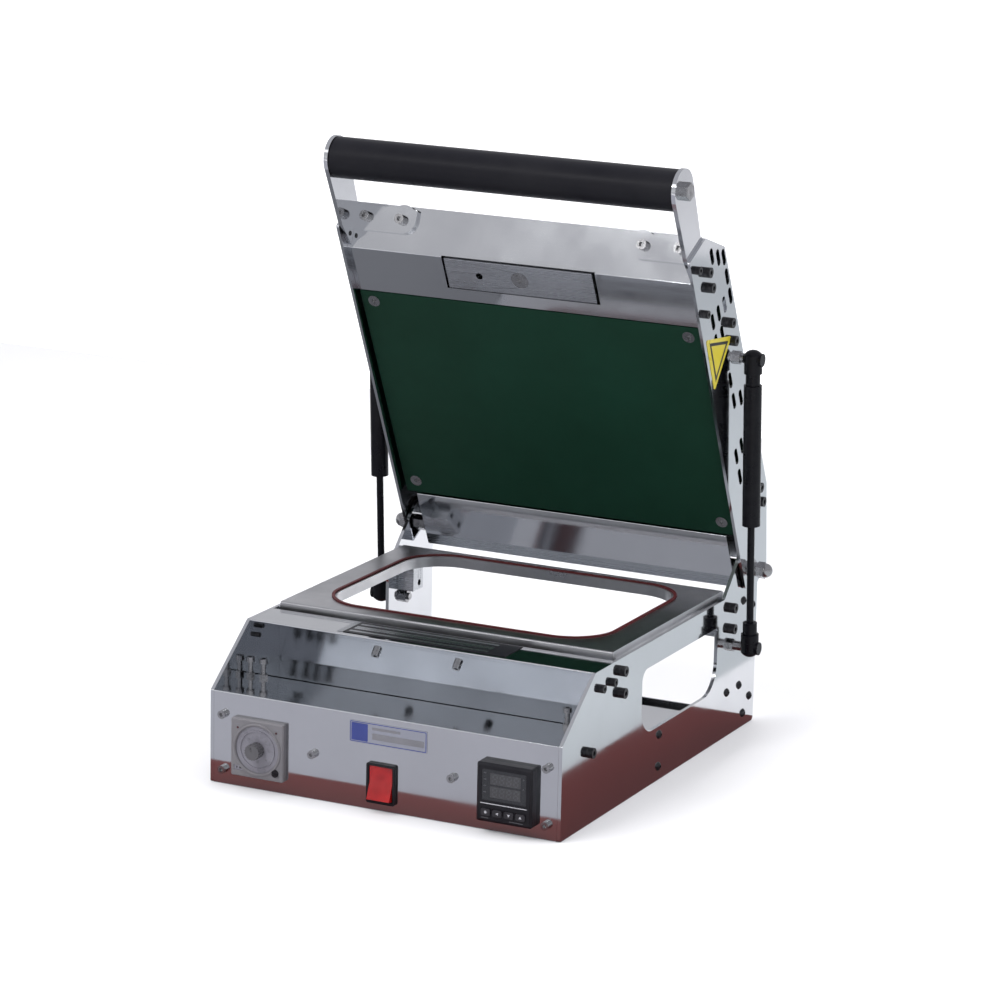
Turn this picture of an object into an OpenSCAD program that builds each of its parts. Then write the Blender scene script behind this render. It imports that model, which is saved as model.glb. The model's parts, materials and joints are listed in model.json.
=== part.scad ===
// Manual heat sealer for trays and cups, standing on the lower edges of its side plates.
// X runs to the right, Y to the back and Z up. The origin lies on the floor plane, in the
// middle of the machine's width and depth. The lid stands open at rest.

/* [Base frame] */
// Width over the outer faces of the base side plates
base_w = 312; // [290:1:380]
// Depth of the base side plates
base_d = 380; // [360:1:460]
// Height of the side plates' level top edge
rail_z = 122; // [115:1:150]
// Thickness of the base side plates
side_t = 3; // [2:0.5:4]
// Height of the front panel
front_h = 77; // [70:1:90]
// Depth at which the sloping front edge of a side plate reaches the top edge
nose_y = 58; // [50:1:70]
// Thickness of the folded sheets of the base
sheet_t = 1.5; // [1:0.1:2]
// Depth of the electronics box behind the front panel
box_d = 110; // [106:1:130]
// Height of the lower edge of the side windows
window_z = 46; // [46:1:52]
// Depth at which the side windows start
window_y = 147; // [140:1:155]

/* [Tray plate] */
// Gap between the tray plate and each side plate
tray_side_gap = 3; // [2:0.5:20]
// Depth of the tray plate
tray_d = 218; // [210:1:240]
// Thickness of the tray plate
tray_t = 9; // [8:0.5:11]
// Height of the tray plate's upper face
tray_z = 127; // [125:0.5:128]
// Depth at which the tray plate starts
tray_y = 102; // [100:1:106]
// Width of the opening that holds a tray
opening_w = 246; // [200:1:250]
// Depth of the opening that holds a tray
opening_d = 182; // [150:1:190]
// Corner radius of the opening
opening_r = 37; // [20:1:45]
// Width of the silicone seal around the opening
seal_w = 2.5; // [2:0.5:5]
// Height by which the seal stands above the tray plate
seal_proud = 1.2; // [0.5:0.1:1.5]

/* [Lid] */
// Angle by which the lid stands open at rest
open_angle = 64.5; // [50:0.5:70]
// Height of the hinge axis
hinge_z = 138.5; // [137:0.5:145]
// Length of the lid side plates from the hinge to the front
lid_len = 322; // [320:1:330]
// Height of the lid side plates above the hinge line when closed
lid_rise = 50; // [48:1:60]
// Drop of the lid side plates below the hinge line when closed
lid_drop = 14; // [13.5:0.5:16]
// Thickness of the lid side plates
lid_side_t = 2.5; // [2:0.5:3]
// Gap between a base side plate and the lid side plate outside it
lid_side_gap = 1; // [0.8:0.1:2]
// Drop of the sealing face below the hinge line when closed
heater_drop = 8.6; // [8:0.1:9]
// Gap between the heater plate and each lid side plate
heater_side_gap = 2.5; // [2.5:0.5:8]
// Length of the heater plate from back to front
heater_l = 211.5; // [205:0.5:211.5]
// Distance of the heater plate's rear edge from the hinge
heater_back = 41.4; // [41:0.2:44]
// Thickness of the heater plate
heater_t = 8; // [6:0.5:10]

/* [Handle] */
// Diameter of the grip
grip_dia = 34; // [28:1:35]
// Distance of the grip's axis from the hinge
grip_reach = 378; // [375:1:400]
// Height of the grip's axis above the hinge line when closed
grip_rise = 3; // [-4:0.5:5]
// Thickness of the handle brackets
bracket_t = 3.5; // [3:0.5:5]

/* [Gas springs] */
// Diameter of the pressure tubes
tube_dia = 15; // [14:1:16]
// Diameter of the piston rods
rod_dia = 6; // [6:1:8]
// Distance from the lid side plate to a spring's axis
spring_offset = 14.5; // [14:0.5:18]
// Depth of the lower pivot of the springs
lower_pivot_y = 324.5; // [320:0.5:335]
// Height of the lower pivot of the springs
lower_pivot_z = 80; // [70:1:90]
// Distance of the upper pivot from the hinge along the lid
upper_pivot_reach = 192; // [185:1:200]
// Height of the upper pivot above the hinge line when closed
upper_pivot_rise = 38.2; // [36:0.2:40]

/* [Controls] */
// Side of the square timer and temperature controller
din_size = 48; // [44:1:48]
// Protrusion of the timer bezel
timer_proud = 5; // [4:0.5:12]
// Protrusion of the controller bezel
controller_proud = 9; // [6:1:12]
// Distance of the timer to the left of the middle
timer_x = 110.5; // [95:0.5:111]
// Height of the timer's centre
timer_z = 34.5; // [30:0.5:38]
// Distance of the controller to the right of the middle
controller_x = 111; // [95:1:111]
// Height of the controller's centre
controller_z = 33.5; // [30:0.5:38]
// Width of the power switch frame
switch_w = 25.5; // [22:0.5:28]
// Height of the power switch frame
switch_h = 33; // [28:0.5:36]

/* [Fasteners] */
// Diameter of the hinge pins
hinge_pin_dia = 8; // [6:1:10]
// Thread diameter of the spring studs
stud_screw = 6; // [5:0.5:8]
// Thread diameter of the cap screws of the frame and the lid
medium_screw = 5; // [4:0.5:6]
// Thread diameter of the small screws
small_screw = 4; // [3:0.5:5]

/* [Hidden] */
$fn = 64;

touch_gap = 0.1;
fit_gap = 0.05;
travel_gap = 0.4;
// Arcs are this much larger than the corner they round, so that they cross its edges cleanly
arc_swell = 0.01;
// Diameter of a cap screw's head over that of its thread
head_ratio = 1.7;
steel = [0.78, 0.80, 0.83];
dark_steel = [0.30, 0.31, 0.33];
black = [0.09, 0.09, 0.11];

// Depth of the whole machine at rest, which centres it on the origin
timer_knob_proud = 8.5;
machine_front = -(timer_proud + timer_knob_proud);
hinge_corner = [16, 28];
hinge_corner_r = 3;
head_r = 22;
hinge_y = base_d - head_r;
machine_back = hinge_y
  + (hinge_corner[0] - hinge_corner_r) * cos(open_angle)
  + (hinge_corner[1] - hinge_corner_r) * sin(open_angle)
  + hinge_corner_r;
mid_y = (machine_front + machine_back) / 2;

inner_w = base_w - 2 * side_t;
tray_w = inner_w - 2 * tray_side_gap;
sheet_w = inner_w - 2 * touch_gap;
lid_inner_w = base_w + 2 * lid_side_gap;
heater_w = lid_inner_w - 2 * heater_side_gap;
lid_sheet_w = lid_inner_w - 2 * touch_gap;
lid_outer_w = lid_inner_w + 2 * lid_side_t;
spring_x = lid_outer_w / 2 + spring_offset;

// Heights and places that several pieces share
pan_z = 1;
pan_top = pan_z + sheet_t;
panel_flange_y = 56;
slit = 3;
ledge_y = panel_flange_y + slit;
ledge_top = front_h;
deck_back_y = 96;
magnet_y = 78;
magnet_w = 150;
magnet_d = 32;
magnet_h = 24;
block_w = 16;
block_d = 18;
block_h = 30;
block_rows = [tray_y + 6, tray_y + tray_d + 2];
opening_y = tray_y + tray_d / 2 + 2;
window_top = rail_z - 21;
window_back_y = 298;
panel_hole = din_size - 3;

// Slant of the deck from its ledge up to its overhanging top edge
deck_low = [box_d, ledge_top - sheet_t / 2];
deck_high = [nose_y, rail_z - sheet_t / 2];
deck_angle = atan2(deck_high[1] - deck_low[1], deck_high[0] - deck_low[0]);
deck_slope = (deck_high[1] - deck_low[1]) / (deck_low[0] - deck_high[0]);

// Depth just behind the slanting part of the deck at a height
function behind_slant(z) = deck_high[0] + (deck_high[1] - z) / deck_slope + sheet_t + travel_gap;

// ---------------------------------------------------------------- helpers

function unit(v) = v / norm(v);
function half_turn(a, b, c) = acos(unit(a - b) * unit(c - b)) / 2;
function run_in(a, b, c, r) = b + unit(a - b) * r / tan(half_turn(a, b, c));
function bend_centre(a, b, c, r) = b + unit(unit(a - b) + unit(c - b)) * r / sin(half_turn(a, b, c));

// An outline whose outer corners are true arcs, with one radius for each corner; 0 is a sharp one
module rounded(points, radii) {
  last = len(points) - 1;
  polygon([
    for (i = [0:last])
      let (a = points[i == 0 ? last : i - 1], b = points[i], c = points[i == last ? 0 : i + 1])
        each radii[i] == 0 ? [b] : [run_in(a, b, c, radii[i]), run_in(c, b, a, radii[i])]
  ]);
  for (i = [0:last]) {
    a = points[i == 0 ? last : i - 1];
    c = points[i == last ? 0 : i + 1];
    if (radii[i] > 0) translate(bend_centre(a, points[i], c, radii[i])) circle(radii[i] + arc_swell);
  }
}

module rounded_rect(w, h, r) {
  x = w / 2;
  y = h / 2;
  rounded([[-x, -y], [x, -y], [x, y], [-x, y]], [r, r, r, r]);
}

// A folded sheet seen from its end: straight runs of one thickness joined by round bends
module sheet_profile(points, t) {
  for (i = [0:len(points) - 2]) {
    run = points[i + 1] - points[i];
    translate(points[i])
      rotate(atan2(run[1], run[0]))
        translate([0, -t / 2])
          square([norm(run), t]);
  }
  for (i = [1:len(points) - 2]) translate(points[i]) circle(t / 2 + arc_swell);
}

// Puts a drawing of depth and height on end and gives it a thickness along X
module along_x(x, t) {
  translate([x, 0, 0])
    rotate([90, 0, 90])
      linear_extrude(t)
        children();
}

// A sheet or bar drawn from its end, centred on the middle of the machine
module across(w) {
  along_x(-w / 2, w) children();
}

// A rod or hole along X
module rod_x(x, y, z, d, l) {
  translate([x, y, z]) rotate([0, 90, 0]) cylinder(d = d, h = l);
}

// A rod or hole along Y
module rod_y(x, y, z, d, l) {
  translate([x, y, z]) rotate([-90, 0, 0]) cylinder(d = d, h = l);
}

module both_sides() {
  children();
  mirror([1, 0, 0]) children();
}

module base_frame() {
  translate([0, -mid_y, 0]) children();
}

// The closed lid is drawn from the hinge axis, with its front at negative Y
module lid_frame() {
  base_frame()
    translate([0, hinge_y, hinge_z])
      rotate([-open_angle, 0, 0])
        children();
}

// Socket head cap screw along -Z from a face at Z = 0, with a hexagon socket
module cap_screw(d, l) {
  difference() {
    union() {
      cylinder(d = head_ratio * d, h = d);
      translate([0, 0, -l]) cylinder(d = d, h = l);
    }
    translate([0, 0, d / 2]) cylinder(d = 0.85 * d, h = d, $fn = 6);
  }
}

// Button head screw along -Z from a face at Z = 0, with a hexagon socket
module button_screw(d, l) {
  difference() {
    union() {
      intersection() {
        cylinder(d = 1.9 * d, h = 0.6 * d);
        translate([0, 0, -0.45 * d]) sphere(d = 2.1 * d);
      }
      translate([0, 0, -l]) cylinder(d = d, h = l);
    }
    translate([0, 0, 0.2 * d]) cylinder(d = 0.7 * d, h = d, $fn = 6);
  }
}

module hex_nut(d, h) {
  difference() {
    cylinder(d = 1.9 * d, h = h, $fn = 6);
    translate([0, 0, -1]) cylinder(d = d + 2 * fit_gap, h = h + 2);
  }
}

// ---------------------------------------------------------------- base frame

block_screw_places = [
  for (y = [block_rows[0] - 3, block_rows[1] + 2], drop = [10, 28]) [y, rail_z - drop]
];
bracket_screw_place = [48, 60];
deck_screw_places = [[nose_y + 9, rail_z - 15], [nose_y + 30, rail_z - 15]];
pan_screw_places = [[183, 39], [183, 12], [321, 39], [357, 12], [370, 24], [347, 39]];
tie_screw_places = [[base_d - 29, 112], [base_d - 9, 104]];
tie_run = tie_screw_places[1] - tie_screw_places[0];
tie_front = tie_screw_places[0] - tie_run * 0.3;
tie_rear = tie_screw_places[1] + tie_run * 0.25;
tie_t = 8;
bracket_front_y = sheet_t + 0.2;

cap_places = concat(block_screw_places, [bracket_screw_place]);
small_places = concat(deck_screw_places, pan_screw_places, tie_screw_places);

// The post's front edge climbs at 45 degrees from its foot to the round head about the hinge
module side_outline() {
  apex_z = hinge_z + head_r / tan(22.5);
  post_foot = base_d - (apex_z - rail_z);
  rounded(
    [[0, 0], [base_d, 0], [base_d, apex_z], [post_foot, rail_z], [nose_y, rail_z], [0, front_h]],
    [2, 4, head_r, 0, 3, 2]
  );
}

module window_outline() {
  rounded(
    [[window_y, window_z], [window_back_y, window_z], [window_back_y, window_top], [window_y, window_top]],
    [22, 25, 4, 10]
  );
}

module side_plate() {
  difference() {
    along_x(inner_w / 2, side_t) {
      difference() {
        side_outline();
        window_outline();
      }
    }
    for (p = cap_places) rod_x(inner_w / 2 - 1, p[0], p[1], medium_screw + 2 * fit_gap, side_t + 2);
    for (p = small_places) rod_x(inner_w / 2 - 1, p[0], p[1], small_screw + 2 * fit_gap, side_t + 2);
    rod_x(inner_w / 2 - 1, hinge_y, hinge_z, hinge_pin_dia + 2 * fit_gap, side_t + 2);
    rod_x(inner_w / 2 - 1, lower_pivot_y, lower_pivot_z, stud_screw + 2 * fit_gap, side_t + 2);
  }
}

module side_plate_right() {
  color(steel) base_frame() side_plate();
}

module side_plate_left() {
  color(steel) base_frame() mirror([1, 0, 0]) side_plate();
}

panel_screw_x = base_w / 2 - 12;
panel_screw_z = [12.5, 58.5];
middle_screw_x = 62;
middle_screw_z = 37.7;
standing_screw_y = 50;
standing_screw_x = [136, 148];
deck_screw_x = [-46, 27];
deck_screw_run = 46;

module front_panel() {
  half = sheet_t / 2;
  color(steel) base_frame() difference() {
    across(sheet_w)
      sheet_profile([[half, 0], [half, front_h - half], [panel_flange_y, front_h - half]], sheet_t);
    for (place = [[-timer_x, timer_z], [controller_x, controller_z]])
      translate([place[0], 0, place[1]]) cube([panel_hole, 20, panel_hole], center = true);
    for (sx = [-1, 1]) {
      for (z = panel_screw_z) rod_y(sx * panel_screw_x, -1, z, small_screw + 2 * fit_gap, sheet_t + 2);
      rod_y(sx * middle_screw_x, -1, middle_screw_z, small_screw + 2 * fit_gap, sheet_t + 2);
      for (x = standing_screw_x)
        translate([sx * x, standing_screw_y, front_h - 5])
          cylinder(d = small_screw + 2 * fit_gap, h = 10);
    }
    translate([0, 0, switch_z]) cube([switch_w - 3, 20, switch_h - 3], center = true);
  }
}

// Local Y climbs the slant of the deck and local Z points out of its visible face
module deck_frame() {
  translate([0, deck_low[0], deck_low[1]])
    rotate([deck_angle, 0, 0])
      children();
}

module deck() {
  color(steel) base_frame() difference() {
    across(sheet_w)
      sheet_profile(
        [[ledge_y, deck_low[1]], deck_low, deck_high, [deck_back_y, deck_high[1]]],
        sheet_t
      );
    translate([0, magnet_y, rail_z])
      cube([magnet_w + 2 * travel_gap, magnet_d + 2 * travel_gap, 10], center = true);
    deck_frame()
      for (x = deck_screw_x)
        translate([x, deck_screw_run, -5]) cylinder(d = small_screw + 2 * fit_gap, h = 10);
  }
}

gland_x = 90;
gland_z = 40;
gland_dia = 16;

module box_back() {
  color(steel) base_frame() difference() {
    translate([-sheet_w / 2, box_d - 6, pan_top])
      cube([sheet_w, sheet_t, ledge_top - sheet_t - pan_top]);
    rod_y(gland_x, box_d - 8, gland_z, gland_dia + 2 * fit_gap, 5);
  }
}

pan_flange_z = 18;
pan_wall_z = 44;
pan_lip_z = 6;
pan_wall_y = 176;
pan_end_y = base_d - 3;

module floor_pan() {
  start = sheet_t + touch_gap;
  flange_x = sheet_w / 2 - sheet_t;
  color(steel) base_frame() {
    translate([-sheet_w / 2, start, pan_z]) cube([sheet_w, pan_end_y - start, sheet_t]);
    both_sides() {
      difference() {
        union() {
          translate([flange_x, start, pan_z]) cube([sheet_t, pan_end_y - start, pan_flange_z - pan_z]);
          translate([flange_x, pan_wall_y, pan_z]) cube([sheet_t, pan_end_y - pan_wall_y, pan_wall_z - pan_z]);
        }
        translate([flange_x - 1, box_d - 6 - touch_gap, pan_top])
          cube([sheet_t + 2, sheet_t + 2 * touch_gap, pan_flange_z]);
        for (p = pan_screw_places)
          rod_x(flange_x - 1, p[0], p[1], small_screw + 2 * fit_gap, sheet_t + 2);
      }
    }
    translate([-sheet_w / 2, pan_end_y - sheet_t, pan_z])
      cube([sheet_w, sheet_t, pan_lip_z - pan_z]);
  }
}

// Angle pieces that join the front panel, the deck and the side plates
module corner_brackets() {
  low = rail_z - 22;
  high = rail_z - sheet_t - touch_gap;
  color(steel) base_frame() both_sides() {
    leg = 18;
    t = 2;
    difference() {
      union() {
        translate([inner_w / 2 - t - touch_gap, bracket_front_y, 22]) cube([t, 54, 50]);
        translate([inner_w / 2 - leg, bracket_front_y, 5]) cube([leg - 3, t, 67]);
      }
      rod_x(inner_w / 2 - leg, bracket_screw_place[0], bracket_screw_place[1], medium_screw + 2 * fit_gap, 2 * leg);
      for (z = panel_screw_z) rod_y(panel_screw_x, 0, z, small_screw + 2 * fit_gap, leg);
    }
    difference() {
      along_x(inner_w / 2 - t - touch_gap, t)
        polygon([
          [behind_slant(low), low], [deck_back_y, low], [deck_back_y, high], [behind_slant(high), high]
        ]);
      for (p = deck_screw_places)
        rod_x(inner_w / 2 - leg, p[0], p[1], small_screw + 2 * fit_gap, 2 * leg);
    }
  }
}

// Blocks on the side plates that carry the corners of the tray plate
module support_blocks() {
  color(steel) base_frame() both_sides()
    for (y = block_rows)
      difference() {
        translate([inner_w / 2 - block_w, y - block_d / 2, tray_z - tray_t - block_h])
          cube([block_w - touch_gap, block_d, block_h]);
        for (p = block_screw_places)
          rod_x(inner_w / 2 - block_w - 1, p[0], p[1], medium_screw + 2 * fit_gap, block_w + 2);
      }
}

// Sloping flat bar that ties the two posts behind the tray plate
module rear_tie() {
  color(steel) base_frame() difference() {
    across(sheet_w) sheet_profile([tie_front, tie_rear], tie_t);
    for (sx = [0, 1])
      mirror([sx, 0, 0])
        for (p = tie_screw_places)
          rod_x(inner_w / 2 - 12, p[0], p[1], small_screw + 2 * fit_gap, 14);
  }
}

module ring(w, d, r, band, h) {
  linear_extrude(h)
    difference() {
      rounded_rect(w + 2 * band, d + 2 * band, r + band);
      rounded_rect(w, d, r);
    }
}

seal_depth = 4;
// The seal's groove leaves a narrow lip of the plate around the opening
seal_lip = 2;
groove_w = opening_w + 2 * seal_lip;
groove_d = opening_d + 2 * seal_lip;
groove_r = opening_r + seal_lip;

module tray_plate() {
  edge = 1.5;
  color([0.55, 0.56, 0.58]) base_frame() difference() {
    translate([0, tray_y + tray_d / 2, 0]) {
      across(tray_w)
        rounded(
          [
            [-tray_d / 2, tray_z - tray_t], [tray_d / 2, tray_z - tray_t],
            [tray_d / 2, tray_z], [-tray_d / 2, tray_z]
          ],
          [0.3, 0.3, edge, edge]
        );
    }
    translate([0, opening_y, tray_z - tray_t - 1])
      linear_extrude(tray_t + 2)
        rounded_rect(opening_w, opening_d, opening_r);
    translate([0, opening_y, tray_z - seal_depth])
      ring(
        groove_w - 2 * touch_gap, groove_d - 2 * touch_gap, groove_r - touch_gap,
        seal_w + 2 * touch_gap, seal_depth + 1
      );
  }
}

module seal() {
  color([0.33, 0.07, 0.08]) base_frame()
    translate([0, opening_y, tray_z - seal_depth])
      ring(groove_w, groove_d, groove_r, seal_w, seal_depth + seal_proud);
}

// ---------------------------------------------------------------- magnet

magnet_top = rail_z + 0.5;
pole_w = 4;
pole_deep = 3;
pole_pitch = 10;
pole_left = -magnet_w / 2 + 8;
pole_right = magnet_w / 2 - 18;
end_plate_t = 5;

// The housing's lower front edge is cut back to clear the slanting deck
module magnet_housing() {
  front = magnet_y - magnet_d / 2;
  rear = magnet_y + magnet_d / 2;
  low = magnet_top - magnet_h;
  cut = deck_high[1] + 2 * sheet_t - (front - deck_high[0]) * deck_slope;
  color(black) base_frame() difference() {
    across(magnet_w)
      polygon([[front, magnet_top], [front, cut], [front + (cut - low) / deck_slope, low], [rear, low], [rear, magnet_top]]);
    magnet_poles(touch_gap);
    deck_frame()
      for (x = deck_screw_x)
        translate([x, deck_screw_run, -7]) cylinder(d = small_screw + 2 * fit_gap, h = 8);
  }
}

// Three pole strips of the E-shaped core and its end plate, flush with the face
module magnet_poles(gap) {
  for (row = [-1, 0, 1]) {
    w = row == 0 ? 2 * pole_w : pole_w;
    translate([pole_left - gap, magnet_y + row * pole_pitch - w / 2 - gap, magnet_top - pole_deep])
      cube([pole_right - pole_left + 2 * gap, w + 2 * gap, pole_deep + gap]);
  }
  translate([-magnet_w / 2 - gap, magnet_y - magnet_d / 2 - gap, magnet_top - pole_deep])
    cube([end_plate_t + 2 * gap, magnet_d + 2 * gap, pole_deep + gap]);
}

module magnet_core() {
  color(steel) base_frame() magnet_poles(0);
}

// ---------------------------------------------------------------- timer

timer_case_d = 58;
dial_dia = 40;
knob_dia = 13;
spindle_dia = 5;
selector_x = 17;

module din_body(deep) {
  translate([-panel_hole / 2 + touch_gap, sheet_t / 2, -panel_hole / 2 + touch_gap])
    cube([panel_hole - 2 * touch_gap, deep, panel_hole - 2 * touch_gap]);
}

// A square bezel that stands out of the panel, with sloping edges around its face
module din_bezel(proud, chamfer) {
  side = din_size;
  intersection() {
    rotate([90, 0, 0]) linear_extrude(proud) rounded_rect(side, side, 2);
    across(side + 2)
      polygon([
        [0, -side / 2], [0, side / 2], [-proud + chamfer, side / 2], [-proud, side / 2 - chamfer],
        [-proud, -side / 2 + chamfer], [-proud + chamfer, -side / 2]
      ]);
    linear_extrude(2 * side, center = true)
      polygon([
        [-side / 2, 0], [side / 2, 0], [side / 2, -proud + chamfer], [side / 2 - chamfer, -proud],
        [-side / 2 + chamfer, -proud], [-side / 2, -proud + chamfer]
      ]);
  }
}

module at_timer() {
  base_frame() translate([-timer_x, 0, timer_z]) children();
}

module timer_case() {
  color(dark_steel) at_timer() din_body(timer_case_d);
}

dial_deep = 3;
dial_face = -timer_proud + 1;

module timer_bezel() {
  color([0.62, 0.62, 0.61]) at_timer() difference() {
    din_bezel(timer_proud, 1);
    rod_y(0, -timer_proud - 1, 0, dial_dia + 2 * touch_gap, 2 + dial_deep);
    rod_y(selector_x, -timer_proud - 1, -selector_x, 6 + 2 * fit_gap, 4);
    translate([-selector_x - 4, -timer_proud - 1, -selector_x - 2]) cube([8, 2, 4]);
  }
}

module timer_dial() {
  color([0.75, 0.75, 0.74]) at_timer() difference() {
    rod_y(0, dial_face, 0, dial_dia, dial_deep);
    rod_y(0, dial_face - 1, 0, spindle_dia + 2 * fit_gap, dial_deep + 2);
  }
}

// Fluted knob with a pointer rib and a short spindle
module timer_knob() {
  flutes = 18;
  color([0.55, 0.55, 0.54]) at_timer() {
    difference() {
      rod_y(0, -timer_proud - timer_knob_proud, 0, knob_dia, timer_knob_proud + 0.5);
      for (i = [0:flutes - 1])
        rotate([0, i * 360 / flutes, 0])
          rod_y(knob_dia / 2 + 0.3, -timer_proud - timer_knob_proud - 1, 0, 1.6, timer_knob_proud + 2);
    }
    rod_y(0, -timer_proud, 0, spindle_dia, dial_deep + 0.9);
  }
}

module timer_selector() {
  color(black) at_timer() difference() {
    rod_y(selector_x, -timer_proud - 1.2, -selector_x, 6, 4);
    translate([selector_x - 3, -timer_proud - 2, -selector_x - 0.5]) cube([6, 1.5, 1]);
  }
}

// ---------------------------------------------------------------- controller

controller_case_d = 62;
display_w = 38;
display_h = 25;
display_z = 6.5;
key_w = 8;
key_h = 5.5;
key_z = -15.5;
key_pitch = 10;
key_proud = 1;

module at_controller() {
  base_frame() translate([controller_x, 0, controller_z]) children();
}

module controller_case() {
  color(dark_steel) at_controller() din_body(controller_case_d);
}

module key_shape(index, gap, front, deep) {
  x = (index - 1.5) * key_pitch;
  translate([x, front, key_z])
    rotate([-90, 0, 0])
      linear_extrude(deep)
        rounded_rect(key_w + 2 * gap, key_h + 2 * gap, 1.5 + gap);
}

module controller_bezel() {
  color(black) at_controller() difference() {
    din_bezel(controller_proud, 2);
    translate([-display_w / 2 - touch_gap, -controller_proud - 1, display_z - display_h / 2 - touch_gap])
      cube([display_w + 2 * touch_gap, 2.5, display_h + 2 * touch_gap]);
    for (i = [0:3]) key_shape(i, 0.3, -controller_proud - 1, 5);
  }
}

module controller_display() {
  color([0.16, 0.16, 0.17]) at_controller()
    translate([-display_w / 2, -controller_proud + 0.3, display_z - display_h / 2])
      cube([display_w, 1.2, display_h]);
}

module key(index) {
  color([0.25, 0.25, 0.27]) at_controller()
    key_shape(index, 0, -controller_proud - key_proud, 3.6);
}

module key_set() {
  key(0);
}

module key_shift() {
  key(1);
}

module key_down() {
  key(2);
}

module key_up() {
  key(3);
}

// ---------------------------------------------------------------- power switch

switch_z = 23;
switch_rim = 2.2;
switch_proud = 3;
rocker_tilt = 11;
rocker_w = switch_w - 2 * switch_rim - 1;
rocker_h = switch_h - 2 * switch_rim - 1.6;
rocker_deep = 7;
rocker_pivot_dia = 2.4;
rocker_pivot_l = 0.2;

module at_switch() {
  base_frame() translate([0, 0, switch_z]) children();
}

module switch_frame() {
  color(black) at_switch() difference() {
    union() {
      rotate([90, 0, 0]) linear_extrude(switch_proud) rounded_rect(switch_w, switch_h, 2);
      translate([-switch_w / 2 + 1.6, -0.5, -switch_h / 2 + 1.6])
        cube([switch_w - 3.2, 22, switch_h - 3.2]);
    }
    translate([-switch_w / 2 + switch_rim, -switch_proud - 1, -switch_h / 2 + switch_rim])
      cube([switch_w - 2 * switch_rim, 15, switch_h - 2 * switch_rim]);
  }
}

// Rocker with a shallow V face; its lower half stands out while the switch is off
module switch_rocker() {
  half = rocker_h / 2;
  dip = half * tan(rocker_tilt);
  color([0.75, 0.10, 0.08]) at_switch()
    translate([0, -0.5, 0])
      rotate([-rocker_tilt, 0, 0]) {
        across(rocker_w)
          polygon([
            [-1.6, 0], [-1.6 - dip, half], [1.4, half], [rocker_deep, 5],
            [rocker_deep, -5], [1.4, -half], [-1.6 - dip, -half]
          ]);
        rod_x(-rocker_w / 2 - rocker_pivot_l, 0, 0, rocker_pivot_dia, rocker_w + 2 * rocker_pivot_l);
      }
}

// ---------------------------------------------------------------- name plate and electronics

module name_plate() {
  color([0.72, 0.74, 0.78]) base_frame()
    translate([5, 0, 62.5])
      rotate([90, 0, 0])
        linear_extrude(0.4)
          rounded_rect(69, 18, 1);
}

module mains_gland() {
  color(black) base_frame() difference() {
    union() {
      rod_y(gland_x, box_d - 14, gland_z, gland_dia, 24);
      translate([gland_x, box_d - 4.5, gland_z]) rotate([-90, 0, 0]) cylinder(d = 25, h = 5, $fn = 6);
      rod_y(gland_x, box_d + 4, gland_z, 20, 12);
      translate([gland_x, box_d - 11, gland_z]) rotate([-90, 0, 0]) cylinder(d = 23, h = 5, $fn = 6);
    }
    rod_y(gland_x, box_d - 20, gland_z, 8, 60);
  }
}

module relay() {
  color([0.85, 0.84, 0.80]) base_frame() {
    translate([18, 45, pan_top + 3]) cube([45, 58, 24]);
    color(steel) translate([14, 43, pan_top]) cube([53, 60, 3]);
  }
}

module power_supply() {
  color([0.62, 0.64, 0.66]) base_frame() difference() {
    translate([-60, 34, pan_top]) cube([66, 66, 32]);
    for (i = [0:5]) translate([-52 + i * 10, 45, pan_top + 28]) cube([4, 44, 6]);
  }
}

module terminal_block() {
  color([0.90, 0.89, 0.85]) base_frame() difference() {
    translate([78, 84, pan_top]) cube([50, 16, 14]);
    for (i = [0:4]) translate([83 + i * 10, 92, pan_top + 6]) cylinder(d = 4, h = 10);
  }
}

// ---------------------------------------------------------------- hinge

washer_t = lid_side_gap - 2 * fit_gap;
hinge_out = lid_outer_w / 2 + 0.3;
hinge_spacer_l = 6;

module hinge_pins() {
  color(steel) base_frame() both_sides() {
    rod_x(inner_w / 2 - 8, hinge_y, hinge_z, hinge_pin_dia, hinge_out - inner_w / 2 + 8 + hinge_spacer_l + 8);
  }
}

// Inner nuts, thin washers and spacer sleeves between the plates, and acorn nuts outside
module hinge_nuts() {
  nut_d = 13;
  bore = hinge_pin_dia + 2 * fit_gap;
  color(steel) base_frame() both_sides() translate([0, hinge_y, hinge_z]) rotate([0, 90, 0]) {
    difference() {
      translate([0, 0, inner_w / 2 - 5.1]) cylinder(d = nut_d + 1, h = 5, $fn = 6);
      translate([0, 0, inner_w / 2 - 6]) cylinder(d = bore, h = 7);
    }
    difference() {
      translate([0, 0, base_w / 2 + fit_gap]) cylinder(d = 18, h = washer_t);
      translate([0, 0, base_w / 2 - 1]) cylinder(d = bore, h = 4);
    }
    difference() {
      union() {
        translate([0, 0, hinge_out]) cylinder(d = 16, h = 1.4);
        translate([0, 0, hinge_out]) cylinder(d = nut_d - 1, h = hinge_spacer_l);
        translate([0, 0, hinge_out + hinge_spacer_l]) cylinder(d = nut_d + 1.5, h = 6, $fn = 6);
        translate([0, 0, hinge_out + hinge_spacer_l + 6]) {
          intersection() {
            sphere(d = nut_d - 0.5);
            cylinder(d = nut_d, h = nut_d);
          }
        }
      }
      translate([0, 0, hinge_out - 1]) cylinder(d = bore, h = hinge_spacer_l + 9.2);
    }
  }
}

// ---------------------------------------------------------------- base fasteners

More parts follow.
